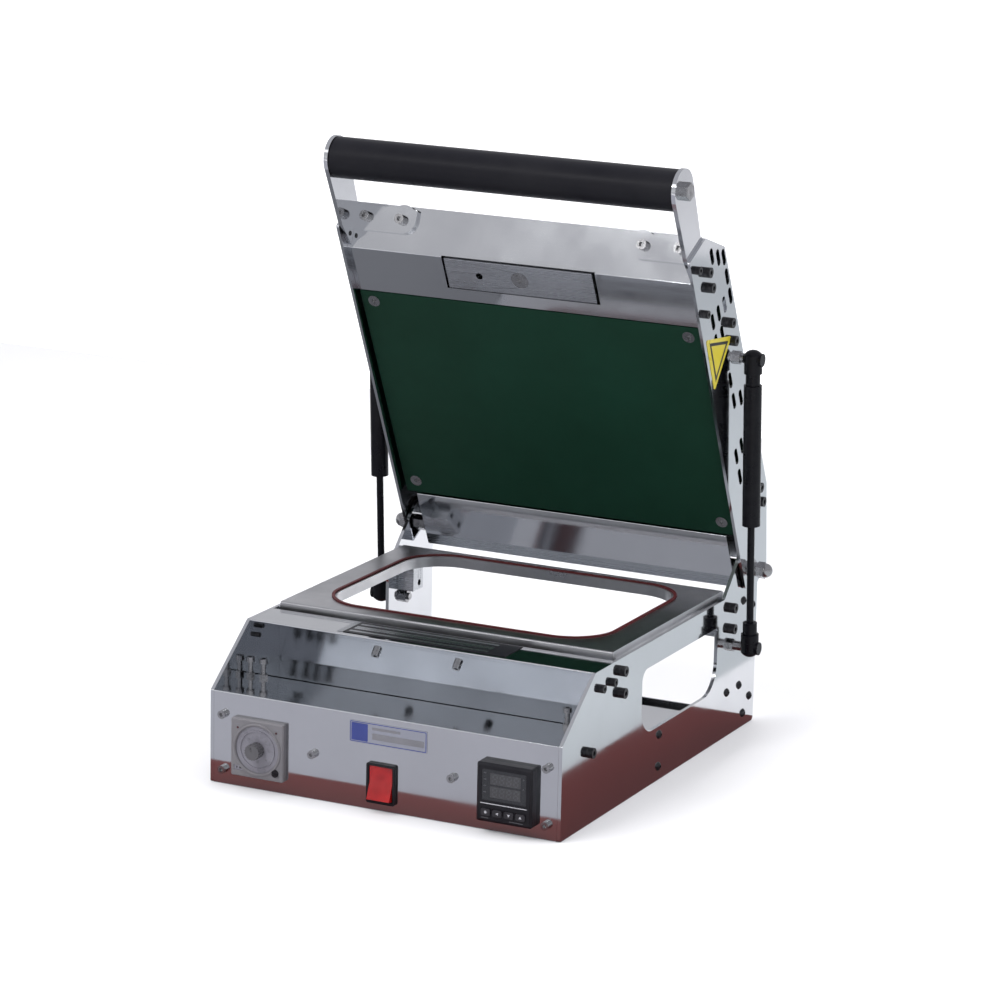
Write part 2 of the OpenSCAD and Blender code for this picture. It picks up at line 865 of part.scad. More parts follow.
module base_screws() {
  color(dark_steel) base_frame() both_sides() {
    for (p = cap_places)
      translate([base_w / 2, p[0], p[1]]) rotate([0, 90, 0]) cap_screw(medium_screw, side_t + 10);
    for (p = deck_screw_places)
      translate([base_w / 2, p[0], p[1]]) rotate([0, 90, 0]) cap_screw(small_screw, side_t + 4);
    for (p = concat(pan_screw_places, tie_screw_places))
      translate([base_w / 2, p[0], p[1]]) rotate([0, 90, 0]) button_screw(small_screw, side_t + 4);
  }
}

module panel_screws() {
  color(dark_steel) base_frame() deck_frame()
    for (x = deck_screw_x)
      translate([x, deck_screw_run, sheet_t / 2]) cap_screw(small_screw, 6);
  color(dark_steel) base_frame() both_sides() {
    for (z = panel_screw_z)
      translate([panel_screw_x, 0, z]) rotate([90, 0, 0]) cap_screw(small_screw, 8);
    translate([middle_screw_x, 0, middle_screw_z]) rotate([90, 0, 0]) cap_screw(small_screw, 8);
    for (x = standing_screw_x)
      translate([x, standing_screw_y, front_h + 12]) {
        cap_screw(small_screw, 20);
        translate([0, 0, -12]) hex_nut(small_screw, 3);
      }
  }
}

// ---------------------------------------------------------------- gas springs

lower_pivot = [lower_pivot_y, lower_pivot_z];
upper_pivot = [
  hinge_y - upper_pivot_reach * cos(open_angle) + upper_pivot_rise * sin(open_angle),
  hinge_z + upper_pivot_reach * sin(open_angle) + upper_pivot_rise * cos(open_angle)
];
spring_run = upper_pivot - lower_pivot;
spring_len = norm(spring_run);
spring_angle = atan2(spring_run[1], spring_run[0]);
fitting_dia = 15;
fitting_dome_r = 9;
fitting_dome_h = 8;
stud_dia = 8;
stud_seat = 5;
tube_len = 120;
tube_top_gap = 8;
rod_inside = 45;

// The spring lies along local Z, from the lower pivot at the origin
module spring_frame() {
  base_frame()
    translate([spring_x, lower_pivot[0], lower_pivot[1]])
      rotate([spring_angle - 90, 0, 0])
        children();
}

// Socket fitting along Z with its pivot at the origin and its neck upwards
module end_fitting() {
  cylinder(d = fitting_dia, h = 12);
  intersection() {
    translate([0, 0, -fitting_dome_h]) cylinder(d = fitting_dia, h = fitting_dome_h + 1);
    translate([0, 0, fitting_dome_r - fitting_dome_h]) sphere(fitting_dome_r);
  }
  translate([0, 0, 12]) cylinder(d = fitting_dia - 3, h = 10);
  rod_x(2, 0, 0, 11, 6.6);
}

module spring_rod() {
  color(black) spring_frame() {
    difference() {
      end_fitting();
      rod_x(-fitting_dia, 0, 0, stud_dia + 2 * fit_gap, fitting_dia - stud_seat + 2.5);
    }
    translate([0, 0, 22]) cylinder(d = rod_dia, h = spring_len - 22 - tube_len - 22 + rod_inside);
  }
}

module spring_tube() {
  tube_end = spring_len - 22;
  color(black) spring_frame() {
    translate([0, 0, spring_len]) mirror([0, 0, 1]) {
      end_fitting();
    }
    difference() {
      union() {
        translate([0, 0, tube_end - tube_len]) cylinder(d = tube_dia, h = tube_len);
      }
      translate([0, 0, tube_end - tube_len - 1]) cylinder(d = rod_dia + 2 * fit_gap, h = tube_len - tube_top_gap);
    }
  }
}

module spring_rod_right() {
  spring_rod();
}

module spring_rod_left() {
  mirror([1, 0, 0]) spring_rod();
}

module spring_tube_right() {
  spring_tube();
}

module spring_tube_left() {
  mirror([1, 0, 0]) spring_tube();
}

// Stud through a plate, with a hexagon collar outside and a nut inside
module stud(inside, outside, reach) {
  rod_x(inside - 7, 0, 0, stud_screw, outside - inside + 7.5);
  translate([outside, 0, 0]) rotate([0, 90, 0]) cylinder(d = 11, h = 4, $fn = 6);
  rod_x(outside + 4, 0, 0, stud_dia, reach - outside - 4);
  translate([inside - 5, 0, 0]) rotate([0, 90, 0]) hex_nut(stud_screw, 5);
}

module lower_studs() {
  color(dark_steel) base_frame() both_sides()
    translate([0, lower_pivot[0], lower_pivot[1]])
      stud(inner_w / 2, base_w / 2, spring_x - stud_seat + 2);
}

module upper_studs() {
  color(dark_steel) lid_frame() both_sides()
    translate([0, -upper_pivot_reach, upper_pivot_rise])
      stud(lid_inner_w / 2, lid_outer_w / 2, spring_x - fitting_dia / 2 - travel_gap);
}

// ---------------------------------------------------------------- lid

fascia_bend_y = -(lid_len - 26);
front_top = [-(lid_len + 1.5), lid_rise - 31];
cover_front = [-(lid_len - 1), lid_rise - 30];
cover_shoulder = [-(lid_len - 28), lid_rise - 1];
cover_back = [-51, lid_rise + 2];
heater_front = heater_back + heater_l;
heater_face = -heater_drop;
bar_rows = [-(heater_front - 25.5), -53.6];
hanger_w = 44;
hanger_z = 29;
hanger_t = 10;
heater_screw_x = 143.5;
heater_screw_y = [-(heater_front - 10), -53.6];
front_bar_y = [-300, -264];
front_bar_z = [3, 17];
lid_large_places = [[-296, 10], [-281, 10], [-230, 34], [-212, 34], [-61, 34], [-46, 34]];
lid_small_places = [[-308, -5], [-265, -4.5]];
vent_l = 15;
vent_w = 6;
// Middles of the slots, in rows that follow the lid's cross bars
vent_places = [
  [-301, 25], [-293, 35.5], [-287, 45], [-268, 45], [-249, 45], [-249, 32.5], [-249, 20], [-249, 7.5],
  [-229, 20], [-229, 7.5], [-182, 20], [-161, 20], [-155, 33], [-115, 20], [-113, 7.5], [-92, 7.5]
];

module lid_outline() {
  rounded(
    [
      [-lid_len + 1, -lid_drop], [8, -lid_drop - 3], [20, -4], hinge_corner,
      [-51, lid_rise + 3], [-(lid_len - 28), lid_rise], [-lid_len, lid_rise - 30]
    ],
    [2, 4, 4, hinge_corner_r, 12, 2, 2]
  );
}

// One slot of the vent field, with round ends, drawn in depth and height
module vent(y, z) {
  flat = vent_l - vent_w;
  translate([y, z]) {
    square([flat, vent_w], center = true);
    for (sy = [-1, 1]) translate([sy * flat / 2, 0]) circle(d = vent_w);
  }
}

module vents() {
  for (p = vent_places) vent(p[0], p[1]);
}

module lid_side() {
  difference() {
    along_x(lid_inner_w / 2, lid_side_t)
      difference() {
        lid_outline();
        vents();
      }
    rod_x(lid_inner_w / 2 - 1, 0, 0, hinge_pin_dia + 2 * fit_gap, lid_side_t + 2);
    rod_x(lid_inner_w / 2 - 1, -upper_pivot_reach, upper_pivot_rise, stud_screw + 2 * fit_gap, lid_side_t + 2);
    for (p = lid_large_places)
      rod_x(lid_inner_w / 2 - 1, p[0], p[1], medium_screw + 2 * fit_gap, lid_side_t + 2);
    for (p = lid_small_places)
      rod_x(lid_inner_w / 2 - 1, p[0], p[1], small_screw + 2 * fit_gap, lid_side_t + 2);
  }
}

module lid_side_right() {
  color(steel) lid_frame() lid_side();
}

module lid_side_left() {
  color(steel) lid_frame() mirror([1, 0, 0]) lid_side();
}

armature_w = 134;
armature_d = 29;
armature_inset = 40.5;
armature_y = armature_inset - lid_len;
armature_t = 9;
armature_gap = 2.5;

// Fascia and sloping front wall of the lid in one folded sheet
module lid_front() {
  low = heater_face + sheet_t / 2;
  color(steel) lid_frame() difference() {
    across(lid_sheet_w)
      sheet_profile([[-heater_front - 1.2, low], [fascia_bend_y, low], front_top], sheet_t);
    translate([0, armature_y, heater_face])
      cube([armature_w + 2 * armature_gap, armature_d + armature_gap, 8], center = true);
    wall_frame()
      for (sx = [-1, 1])
        for (x = handle_screw_x)
          translate([sx * x, tab_screw_rise, -5]) cylinder(d = medium_screw + 2 * fit_gap, h = 10);
  }
}

module lid_cover() {
  color(steel) lid_frame()
    across(lid_sheet_w)
      sheet_profile([cover_front, cover_shoulder, cover_back, hinge_corner - [2, 0]], sheet_t);
}

rear_panel_side_gap = 7.5;
rear_panel_w = inner_w - 2 * rear_panel_side_gap;
rear_panel_end = 15;

// Sheet between the heater plate and the back of the cover, narrow enough to pass between the posts
module lid_rear_panel() {
  low = heater_face + sheet_t / 2;
  seam = hinge_corner[1] - sheet_t / 2 - 2 * travel_gap;
  color(dark_steel) lid_frame()
    across(rear_panel_w)
      sheet_profile(
        [
          [-heater_back + 3, low + 12], [-heater_back + 3, low],
          [rear_panel_end, low], [rear_panel_end, seam]
        ],
        sheet_t
      );
}

module heater_plate() {
  color([0.05, 0.17, 0.13]) lid_frame() difference() {
    translate([-heater_w / 2, -heater_front, heater_face]) cube([heater_w, heater_l, heater_t]);
    for (sx = [-1, 1])
      for (y = heater_screw_y)
        translate([sx * heater_screw_x, y, heater_face - 0.01]) {
          cylinder(d1 = 11, d2 = 5.2, h = 3);
          cylinder(d = 5.2, h = heater_t + 1);
        }
  }
}

element_t = 4;
element_w = 35;
element_z = heater_face + heater_t;

module heating_elements() {
  color([0.72, 0.70, 0.66]) lid_frame()
    for (i = [0:3])
      translate([-131, -heater_front + 15 + i * 48, element_z + touch_gap])
        cube([262, element_w, element_t]);
}

module insulation() {
  low = element_z + element_t + 2 * touch_gap;
  color([0.93, 0.92, 0.88]) lid_frame()
    translate([-135, -heater_front + 8, low])
      cube([270, heater_l - 16, 14]);
}

// Cross bars, with the spacer tubes that hold the heater plate, and the bar behind the fascia
module heater_hangers() {
  spacer_low = element_z;
  color(steel) lid_frame() {
    for (i = [0, 1])
      difference() {
        translate([-lid_inner_w / 2 + touch_gap, bar_rows[i] - hanger_w / 2, hanger_z])
          cube([lid_inner_w - 2 * touch_gap, hanger_w, hanger_t]);
        for (sx = [-1, 1])
          translate([sx * heater_screw_x, heater_screw_y[i], hanger_z - 1])
            cylinder(d = medium_screw + 2 * fit_gap, h = hanger_t + 2);
        side_screw_holes();
      }
    for (sx = [-1, 1])
      for (y = heater_screw_y)
        translate([sx * heater_screw_x, y, spacer_low + touch_gap])
          difference() {
            cylinder(d = 10, h = hanger_z - spacer_low - 2 * touch_gap);
            translate([0, 0, -1]) cylinder(d = medium_screw + 2 * fit_gap, h = hanger_z - spacer_low + 2);
          }
    difference() {
      translate([-lid_inner_w / 2 + touch_gap, front_bar_y[0], front_bar_z[0]])
        cube([lid_inner_w - 2 * touch_gap, front_bar_y[1] - front_bar_y[0], front_bar_z[1] - front_bar_z[0]]);
      side_screw_holes();
      translate([0, armature_y, front_bar_z[0] - 1]) cylinder(d = 8 + 2 * fit_gap, h = 30);
    }
  }
}

module side_screw_holes() {
  for (p = lid_large_places)
    for (sx = [0, 1])
      mirror([sx, 0, 0])
        rod_x(lid_inner_w / 2 - 12, p[0], p[1], medium_screw + 2 * fit_gap, 20);
}

module heater_screws() {
  color(steel) lid_frame()
    for (sx = [-1, 1])
      for (y = heater_screw_y)
        translate([sx * heater_screw_x, y, heater_face])
          difference() {
            union() {
              translate([0, 0, 0.1]) cylinder(d1 = 10.6, d2 = 5, h = 2.8);
              cylinder(d = 5, h = hanger_z - heater_face + 8);
            }
            translate([0, 0, -1]) cylinder(d = 3.4, h = 2.8, $fn = 6);
          }
}

armature_face = -9.6;
armature_screw_dia = 15;

module armature_plate() {
  color([0.66, 0.68, 0.71]) lid_frame() difference() {
    translate([-armature_w / 2, armature_y - armature_d / 2, armature_face])
      cube([armature_w, armature_d, armature_t]);
    translate([0, armature_y, armature_face - 1]) {
      cylinder(d = armature_screw_dia + 2 * fit_gap, h = 4);
      cylinder(d = 8 + 2 * fit_gap, h = armature_t + 2);
    }
    translate([-37, armature_y, armature_face - 1]) cylinder(d = 6, h = armature_t + 2);
  }
}

// Flat screw with a socket in the middle of the armature, and the rubber ring behind it
module armature_screw() {
  back = armature_face + armature_t + touch_gap;
  color(steel) lid_frame() {
    difference() {
      translate([0, armature_y, armature_face]) {
        translate([0, 0, 0.2]) cylinder(d = armature_screw_dia, h = 2.7);
        cylinder(d = 8, h = front_bar_z[1] - armature_face + 4);
      }
      translate([0, armature_y, armature_face - 1]) cylinder(d = 5, h = 2.6, $fn = 6);
    }
    color(black)
      translate([0, armature_y, back])
        difference() {
          cylinder(d = 22, h = front_bar_z[0] - back - touch_gap);
          translate([0, 0, -1]) cylinder(d = 8 + 2 * fit_gap, h = 20);
        }
  }
}

// ---------------------------------------------------------------- handle

arm_outer_x = lid_inner_w / 2 - touch_gap;
arm_inner_x = arm_outer_x - bracket_t;
arm_half = 18;
tab_inner_x = 96;
handle_screw_x = [109.5, 142];
wall_low = [fascia_bend_y, heater_face + sheet_t / 2];
wall_run = front_top - wall_low;
wall_angle = atan2(wall_run[1], -wall_run[0]);
wall_middle = wall_low + wall_run * 0.60;
grip_axis = [-grip_reach, grip_rise];

// Local Z points out of the front wall, with the origin in the middle of the tabs
module wall_frame() {
  translate([0, wall_middle[0], wall_middle[1]])
    rotate([180 - wall_angle, 0, 0])
      children();
}

tab_low = 8;
tab_high = 13;
tab_corner_r = 12;
tab_screw_rise = 3.5;

// Each bracket is an arm beside the grip, folded at the lid's front wall into a screwed tab
module handle_bracket() {
  seat = sheet_t / 2 + touch_gap;
  difference() {
    along_x(arm_inner_x, bracket_t) arm_outline(seat);
    rod_x(arm_inner_x - 1, grip_axis[0], grip_axis[1], 8 + 2 * fit_gap, bracket_t + 2);
    rod_x(arm_inner_x - 1, lid_small_places[0][0], lid_small_places[0][1], small_screw + 2 * fit_gap, bracket_t + 2);
  }
  difference() {
    wall_frame()
      translate([0, 0, seat])
        linear_extrude(bracket_t)
          tab_outline();
    wall_frame()
      for (x = handle_screw_x)
        translate([x, tab_screw_rise, -5]) cylinder(d = medium_screw + 2 * fit_gap, h = 20);
  }
}

module tab_outline() {
  rounded(
    [[tab_inner_x, -tab_low], [arm_outer_x, -tab_low], [arm_outer_x, tab_high], [tab_inner_x, tab_high]],
    [tab_corner_r, 0, 0, 2]
  );
}

// Side view of an arm, from the front wall to the round end about the grip's axis
module arm_outline(seat) {
  out = [-sin(wall_angle), -cos(wall_angle)];
  up = unit(wall_run);
  polygon([
    wall_low + out * seat + up * 2,
    wall_middle + out * seat + up * tab_high,
    grip_axis + [0, arm_half],
    grip_axis - [0, arm_half],
    [-lid_len, -lid_drop + 0.5]
  ]);
  translate(grip_axis) circle(arm_half);
}

module handle_brackets() {
  color(steel) lid_frame() both_sides() handle_bracket();
}

module handle_grip() {
  length = 2 * (arm_inner_x - touch_gap);
  color(black) lid_frame() difference() {
    rod_x(-length / 2, grip_axis[0], grip_axis[1], grip_dia, length);
    rod_x(-length / 2 - 1, grip_axis[0], grip_axis[1], 8 + 2 * fit_gap, length + 2);
  }
}

module handle_rod() {
  length = 2 * arm_outer_x + 1;
  color(steel) lid_frame() {
    rod_x(-length / 2, grip_axis[0], grip_axis[1], 8, length);
    both_sides()
      translate([arm_outer_x, grip_axis[0], grip_axis[1]])
        rotate([0, 90, 0])
          cylinder(d = 15, h = 5.5, $fn = 6);
  }
}

module handle_screws() {
  color(dark_steel) lid_frame() wall_frame() both_sides()
    for (x = handle_screw_x)
      translate([x, tab_screw_rise, sheet_t / 2 + touch_gap + bracket_t]) cap_screw(medium_screw, 12);
}

module lid_screws() {
  color(dark_steel) lid_frame() both_sides() {
    for (p = lid_large_places)
      translate([lid_outer_w / 2, p[0], p[1]]) rotate([0, 90, 0]) cap_screw(medium_screw, lid_side_t + 9);
    for (p = lid_small_places)
      translate([lid_outer_w / 2, p[0], p[1]]) rotate([0, 90, 0]) cap_screw(small_screw, lid_side_t + 4);
  }
}

module warning_triangle() {
  color([0.86, 0.76, 0.18]) lid_frame()
    along_x(lid_outer_w / 2, 0.3)
      difference() {
        rounded([[-243, -10], [-193, -11], [-216, 35]], [2, 2, 2]);
        for (p = lid_large_places) translate(p) circle(d = head_ratio * medium_screw + 2 * touch_gap);
      }
}

// ---------------------------------------------------------------- drawing

side_plate_left();
side_plate_right();
front_panel();
deck();
box_back();
floor_pan();
corner_brackets();
support_blocks();
rear_tie();
tray_plate();
seal();
magnet_housing();
magnet_core();
timer_case();
timer_bezel();
timer_dial();
timer_knob();
timer_selector();
controller_case();
controller_bezel();
controller_display();
key_set();
key_shift();
key_down();
key_up();
switch_frame();
switch_rocker();
name_plate();
mains_gland();
relay();
power_supply();
terminal_block();
hinge_pins();
hinge_nuts();
base_screws();
panel_screws();
lower_studs();
lid_side_left();
lid_side_right();
lid_front();
lid_cover();
lid_rear_panel();
heater_plate();
heating_elements();
insulation();
heater_hangers();
heater_screws();
armature_plate();
armature_screw();
handle_grip();
handle_rod();
handle_brackets();
handle_screws();
lid_screws();
upper_studs();
warning_triangle();
spring_rod_left();
spring_rod_right();
spring_tube_left();
spring_tube_right();
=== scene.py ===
import json
from math import cos, pi, radians, sin

import bmesh
import bpy
from mathutils import Matrix, Vector


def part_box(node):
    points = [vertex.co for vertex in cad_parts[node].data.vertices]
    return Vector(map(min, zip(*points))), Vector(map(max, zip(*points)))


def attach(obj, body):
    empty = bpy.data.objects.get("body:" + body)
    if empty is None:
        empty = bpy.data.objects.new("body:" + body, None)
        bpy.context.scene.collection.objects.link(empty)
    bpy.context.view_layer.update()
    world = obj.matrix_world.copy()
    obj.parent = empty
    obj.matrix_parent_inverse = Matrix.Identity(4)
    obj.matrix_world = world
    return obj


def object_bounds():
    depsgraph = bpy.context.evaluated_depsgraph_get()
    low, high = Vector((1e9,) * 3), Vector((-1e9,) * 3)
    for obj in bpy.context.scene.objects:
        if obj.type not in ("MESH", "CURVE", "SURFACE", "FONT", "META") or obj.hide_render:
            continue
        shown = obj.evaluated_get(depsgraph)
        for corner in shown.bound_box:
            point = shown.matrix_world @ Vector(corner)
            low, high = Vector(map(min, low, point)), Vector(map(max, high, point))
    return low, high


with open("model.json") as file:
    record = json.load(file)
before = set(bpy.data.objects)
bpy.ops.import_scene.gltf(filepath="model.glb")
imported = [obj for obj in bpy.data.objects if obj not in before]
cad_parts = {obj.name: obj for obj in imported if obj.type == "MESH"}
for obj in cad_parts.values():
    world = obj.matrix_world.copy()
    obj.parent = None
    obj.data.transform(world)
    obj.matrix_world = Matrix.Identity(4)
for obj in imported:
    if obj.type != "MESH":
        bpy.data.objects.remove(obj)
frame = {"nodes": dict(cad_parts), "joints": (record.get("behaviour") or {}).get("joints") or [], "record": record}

# Tray heat sealer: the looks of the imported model. Lengths are in metres, in the model's frame.
MM = 0.001
NODES = frame["nodes"]
JOINTS = {joint["name"]: joint for joint in frame["joints"]}
CAD_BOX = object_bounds()
FLOOR_Z = CAD_BOX[0][2]
SHARP_ANGLE = radians(32)


# ---------------------------------------------------------------- materials

class Paint:
    """A material with one Principled shader and short calls to the nodes that feed it."""

    def __init__(self, name, colour, metallic=0.0, roughness=0.5, **sockets):
        self.material = bpy.data.materials.new(name)
        self.material.use_nodes = True
        self.material.diffuse_color = (*colour, 1.0)
        self.tree = self.material.node_tree
        self.shader = self.tree.nodes["Principled BSDF"]
        self.set("Base Color", (*colour, 1.0))
        self.set("Metallic", metallic)
        self.set("Roughness", roughness)
        for socket, value in sockets.items():
            self.set(socket.replace("_", " "), value)
        self.place = self.add("ShaderNodeTexCoord").outputs["Object"]
        self.height = None

    def add(self, kind, **values):
        node = self.tree.nodes.new(kind)
        for key, value in values.items():
            setattr(node, key, value)
        return node

    def set(self, socket, value):
        self.shader.inputs[socket].default_value = value

    def link(self, start, end):
        self.tree.links.new(start, end)

    def stretched(self, scale):
        """The object's own coordinates, scaled along each axis."""
        node = self.add("ShaderNodeMapping")
        node.inputs["Scale"].default_value = scale
        self.link(self.place, node.inputs["Vector"])
        return node.outputs["Vector"]

    def noise(self, scale, detail=3.0, stretch=(1, 1, 1), roughness=0.5):
        node = self.add("ShaderNodeTexNoise")
        node.inputs["Scale"].default_value = scale
        node.inputs["Detail"].default_value = detail
        node.inputs["Roughness"].default_value = roughness
        self.link(self.stretched(stretch), node.inputs["Vector"])
        return node.outputs["Fac"]

    def bands(self, direction, scale, distortion=0.0):
        node = self.add("ShaderNodeTexWave", wave_type="BANDS", bands_direction=direction)
        node.inputs["Scale"].default_value = scale
        node.inputs["Distortion"].default_value = distortion
        self.link(self.place, node.inputs["Vector"])
        return node.outputs["Fac"]

    def vary_roughness(self, value, low, high, start=0.3, end=0.7):
        node = self.add("ShaderNodeMapRange")
        limits = {"From Min": start, "From Max": end, "To Min": low, "To Max": high}
        for socket, limit in limits.items():
            node.inputs[socket].default_value = limit
        self.link(value, node.inputs["Value"])
        self.link(node.outputs["Result"], self.shader.inputs["Roughness"])

    def vary_colour(self, value, first, second, start=0.3, end=0.7):
        ramp = self.add("ShaderNodeValToRGB")
        ramp.color_ramp.elements[0].position = start
        ramp.color_ramp.elements[0].color = (*first, 1)
        ramp.color_ramp.elements[1].position = end
        ramp.color_ramp.elements[1].color = (*second, 1)
        self.link(value, ramp.inputs["Fac"])
        self.link(ramp.outputs["Color"], self.shader.inputs["Base Color"])

    def bump(self, value, depth):
        """Adds a height in metres on top of the bumps that came before."""
        node = self.add("ShaderNodeBump")
        node.inputs["Distance"].default_value = depth
        node.inputs["Strength"].default_value = 1.0
        self.link(value, node.inputs["Height"])
        if self.height:
            self.link(self.height, node.inputs["Normal"])
        self.height = node.outputs["Normal"]
        self.link(self.height, self.shader.inputs["Normal"])


def shade(colour, share):
    return tuple(share * channel for channel in colour)


def polished_sheet(name, colour):
    """Mirror-polished sheet: faint waves, handling marks and a trace of the brushing."""
    paint = Paint(name, colour, metallic=1.0, roughness=0.07)
    smudge = paint.noise(scale=14, detail=6, roughness=0.65)
    paint.vary_roughness(smudge, low=0.05, high=0.13, start=0.35, end=0.75)
    paint.vary_colour(smudge, colour, shade(colour, 0.93), start=0.4, end=0.8)
    paint.bump(paint.noise(scale=9, detail=1), depth=0.00006)
    paint.bump(paint.noise(scale=1.0, detail=2, stretch=(3, 900, 900)), depth=0.0000015)
    return paint.material


def ground_steel(name, colour, brush):
    """Surface-ground steel with fine parallel lines."""
    paint = Paint(name, colour, metallic=1.0, roughness=0.3)
    lines = paint.noise(scale=1.0, detail=4, stretch=brush)
    paint.vary_roughness(lines, low=0.2, high=0.38)
    paint.vary_colour(paint.noise(scale=25, detail=4), colour, shade(colour, 0.86))
    paint.bump(lines, depth=0.000012)
    return paint.material


def milled_aluminium(name, colour, stain_colour):
    """Tray plate: satin face with shallow tool passes across it."""
    paint = Paint(name, colour, metallic=1.0, roughness=0.33)
    paint.bump(paint.bands("Y", scale=160, distortion=1.2), depth=0.000006)
    grain = paint.noise(scale=1.0, detail=4, stretch=(12, 1600, 1600))
    paint.bump(grain, depth=0.000008)
    stain = paint.noise(scale=22, detail=5, roughness=0.6)
    paint.vary_roughness(stain, low=0.26, high=0.42)
    paint.vary_colour(stain, colour, stain_colour)
    return paint.material


def bright_fastener(name, colour):
    paint = Paint(name, colour, metallic=1.0, roughness=0.2)
    wear = paint.noise(scale=260, detail=3)
    paint.vary_roughness(wear, low=0.14, high=0.32)
    paint.vary_colour(wear, colour, shade(colour, 0.72))
    paint.bump(wear, depth=0.00002)
    return paint.material


def black_oxide():
    paint = Paint("black_oxide", (0.028, 0.028, 0.031), metallic=0.6, roughness=0.36)
    wear = paint.noise(scale=300, detail=3)
    paint.vary_colour(wear, (0.02, 0.02, 0.023), (0.075, 0.075, 0.08), start=0.45, end=0.8)
    paint.vary_roughness(wear, low=0.28, high=0.45)
    paint.bump(wear, depth=0.00002)
    return paint.material


def plastic(name, colour, roughness, grain=0.00003, **sockets):
    """Moulded plastic with a fine spark-eroded texture and slight dust."""
    paint = Paint(name, colour, roughness=roughness, **sockets)
    paint.bump(paint.noise(scale=1400, detail=2), depth=grain)
    dust = paint.noise(scale=60, detail=4)
    paint.vary_roughness(dust, low=roughness - 0.07, high=roughness + 0.08)
    dusty = tuple(1.15 * channel + 0.004 for channel in colour)
    paint.vary_colour(dust, colour, dusty, start=0.4, end=0.8)
    return paint.material


def coated_heater():
    """Green non-stick glass cloth: a fine weave under a satin coating."""
    paint = Paint("coated_heater", (0.004, 0.028, 0.016), roughness=0.5, Specular_IOR_Level=0.18)
    for axis in ("X", "Z"):
        paint.bump(paint.bands(axis, scale=420), depth=0.000016)
    cloud = paint.noise(scale=11, detail=5, roughness=0.6)
    paint.vary_colour(cloud, (0.0034, 0.026, 0.014), (0.0046, 0.033, 0.019))
    paint.vary_roughness(paint.noise(scale=30, detail=5), low=0.44, high=0.56)
    return paint.material


def silicone(name, colour):
    paint = Paint(name, colour, roughness=0.5, Specular_IOR_Level=0.4)
    speck = paint.noise(scale=500, detail=2)
    paint.bump(speck, depth=0.00002)
    paint.vary_colour(paint.noise(scale=50, detail=3), colour, shade(colour, 0.75))
    paint.vary_roughness(speck, low=0.42, high=0.6)
    return paint.material


def grip_plastic():
    """Turned black grip, with the faint rings of the tool."""
    paint = Paint("grip_plastic", (0.006, 0.006, 0.009), roughness=0.36, Specular_IOR_Level=0.22)
    rings = paint.noise(scale=1.0, detail=3, stretch=(1500, 6, 6))
    paint.bump(rings, depth=0.00001)
    wear = paint.noise(scale=18, detail=5, roughness=0.7)
    paint.vary_roughness(wear, low=0.28, high=0.42)
    paint.vary_colour(wear, (0.005, 0.005, 0.008), (0.009, 0.009, 0.012))
    return paint.material


def spring_lacquer():
    paint = Paint("spring_lacquer", (0.004, 0.004, 0.006), roughness=0.34, Specular_IOR_Level=0.18)
    dust = paint.noise(scale=90, detail=5)
    paint.vary_roughness(dust, low=0.22, high=0.4)
    paint.vary_colour(dust, (0.003, 0.003, 0.005), (0.007, 0.007, 0.009), start=0.45, end=0.8)
    paint.bump(paint.noise(scale=700, detail=2), depth=0.000008)
    return paint.material


def translucent_red():
    paint = Paint("translucent_red", (0.36, 0.006, 0.008), roughness=0.16, Coat_Weight=0.3,
                  Coat_Roughness=0.08, Transmission_Weight=0.15, Subsurface_Weight=0.2,
                  Subsurface_Scale=0.004)
    cloud = paint.noise(scale=80, detail=2)
    paint.vary_colour(cloud, (0.30, 0.005, 0.007), (0.45, 0.012, 0.013))
    paint.bump(paint.noise(scale=300, detail=2), depth=0.00001)
    return paint.material


def smoked_window():
    paint = Paint("smoked_window", (0.012, 0.013, 0.016), roughness=0.12, Coat_Weight=0.6,
                  Coat_Roughness=0.05)
    paint.vary_roughness(paint.noise(scale=70, detail=4), low=0.08, high=0.18)
    paint.vary_colour(paint.noise(scale=30, detail=2), (0.011, 0.012, 0.015), (0.016, 0.017, 0.020))
    paint.bump(paint.noise(scale=40, detail=1), depth=0.00001)
    return paint.material


def felt_wool():
    paint = Paint("ceramic_wool", (0.82, 0.80, 0.75), roughness=0.95)
    fibre = paint.noise(scale=380, detail=6, roughness=0.7)
    paint.bump(fibre, depth=0.0006)
    paint.vary_colour(fibre, (0.74, 0.72, 0.66), (0.88, 0.86, 0.82))
    return paint.material


def mica():
    paint = Paint("mica_sheet", (0.50, 0.45, 0.36), roughness=0.5)
    flakes = paint.noise(scale=45, detail=6, roughness=0.7)
    paint.vary_colour(flakes, (0.40, 0.35, 0.27), (0.62, 0.57, 0.47))
    paint.bump(flakes, depth=0.00005)
    return paint.material


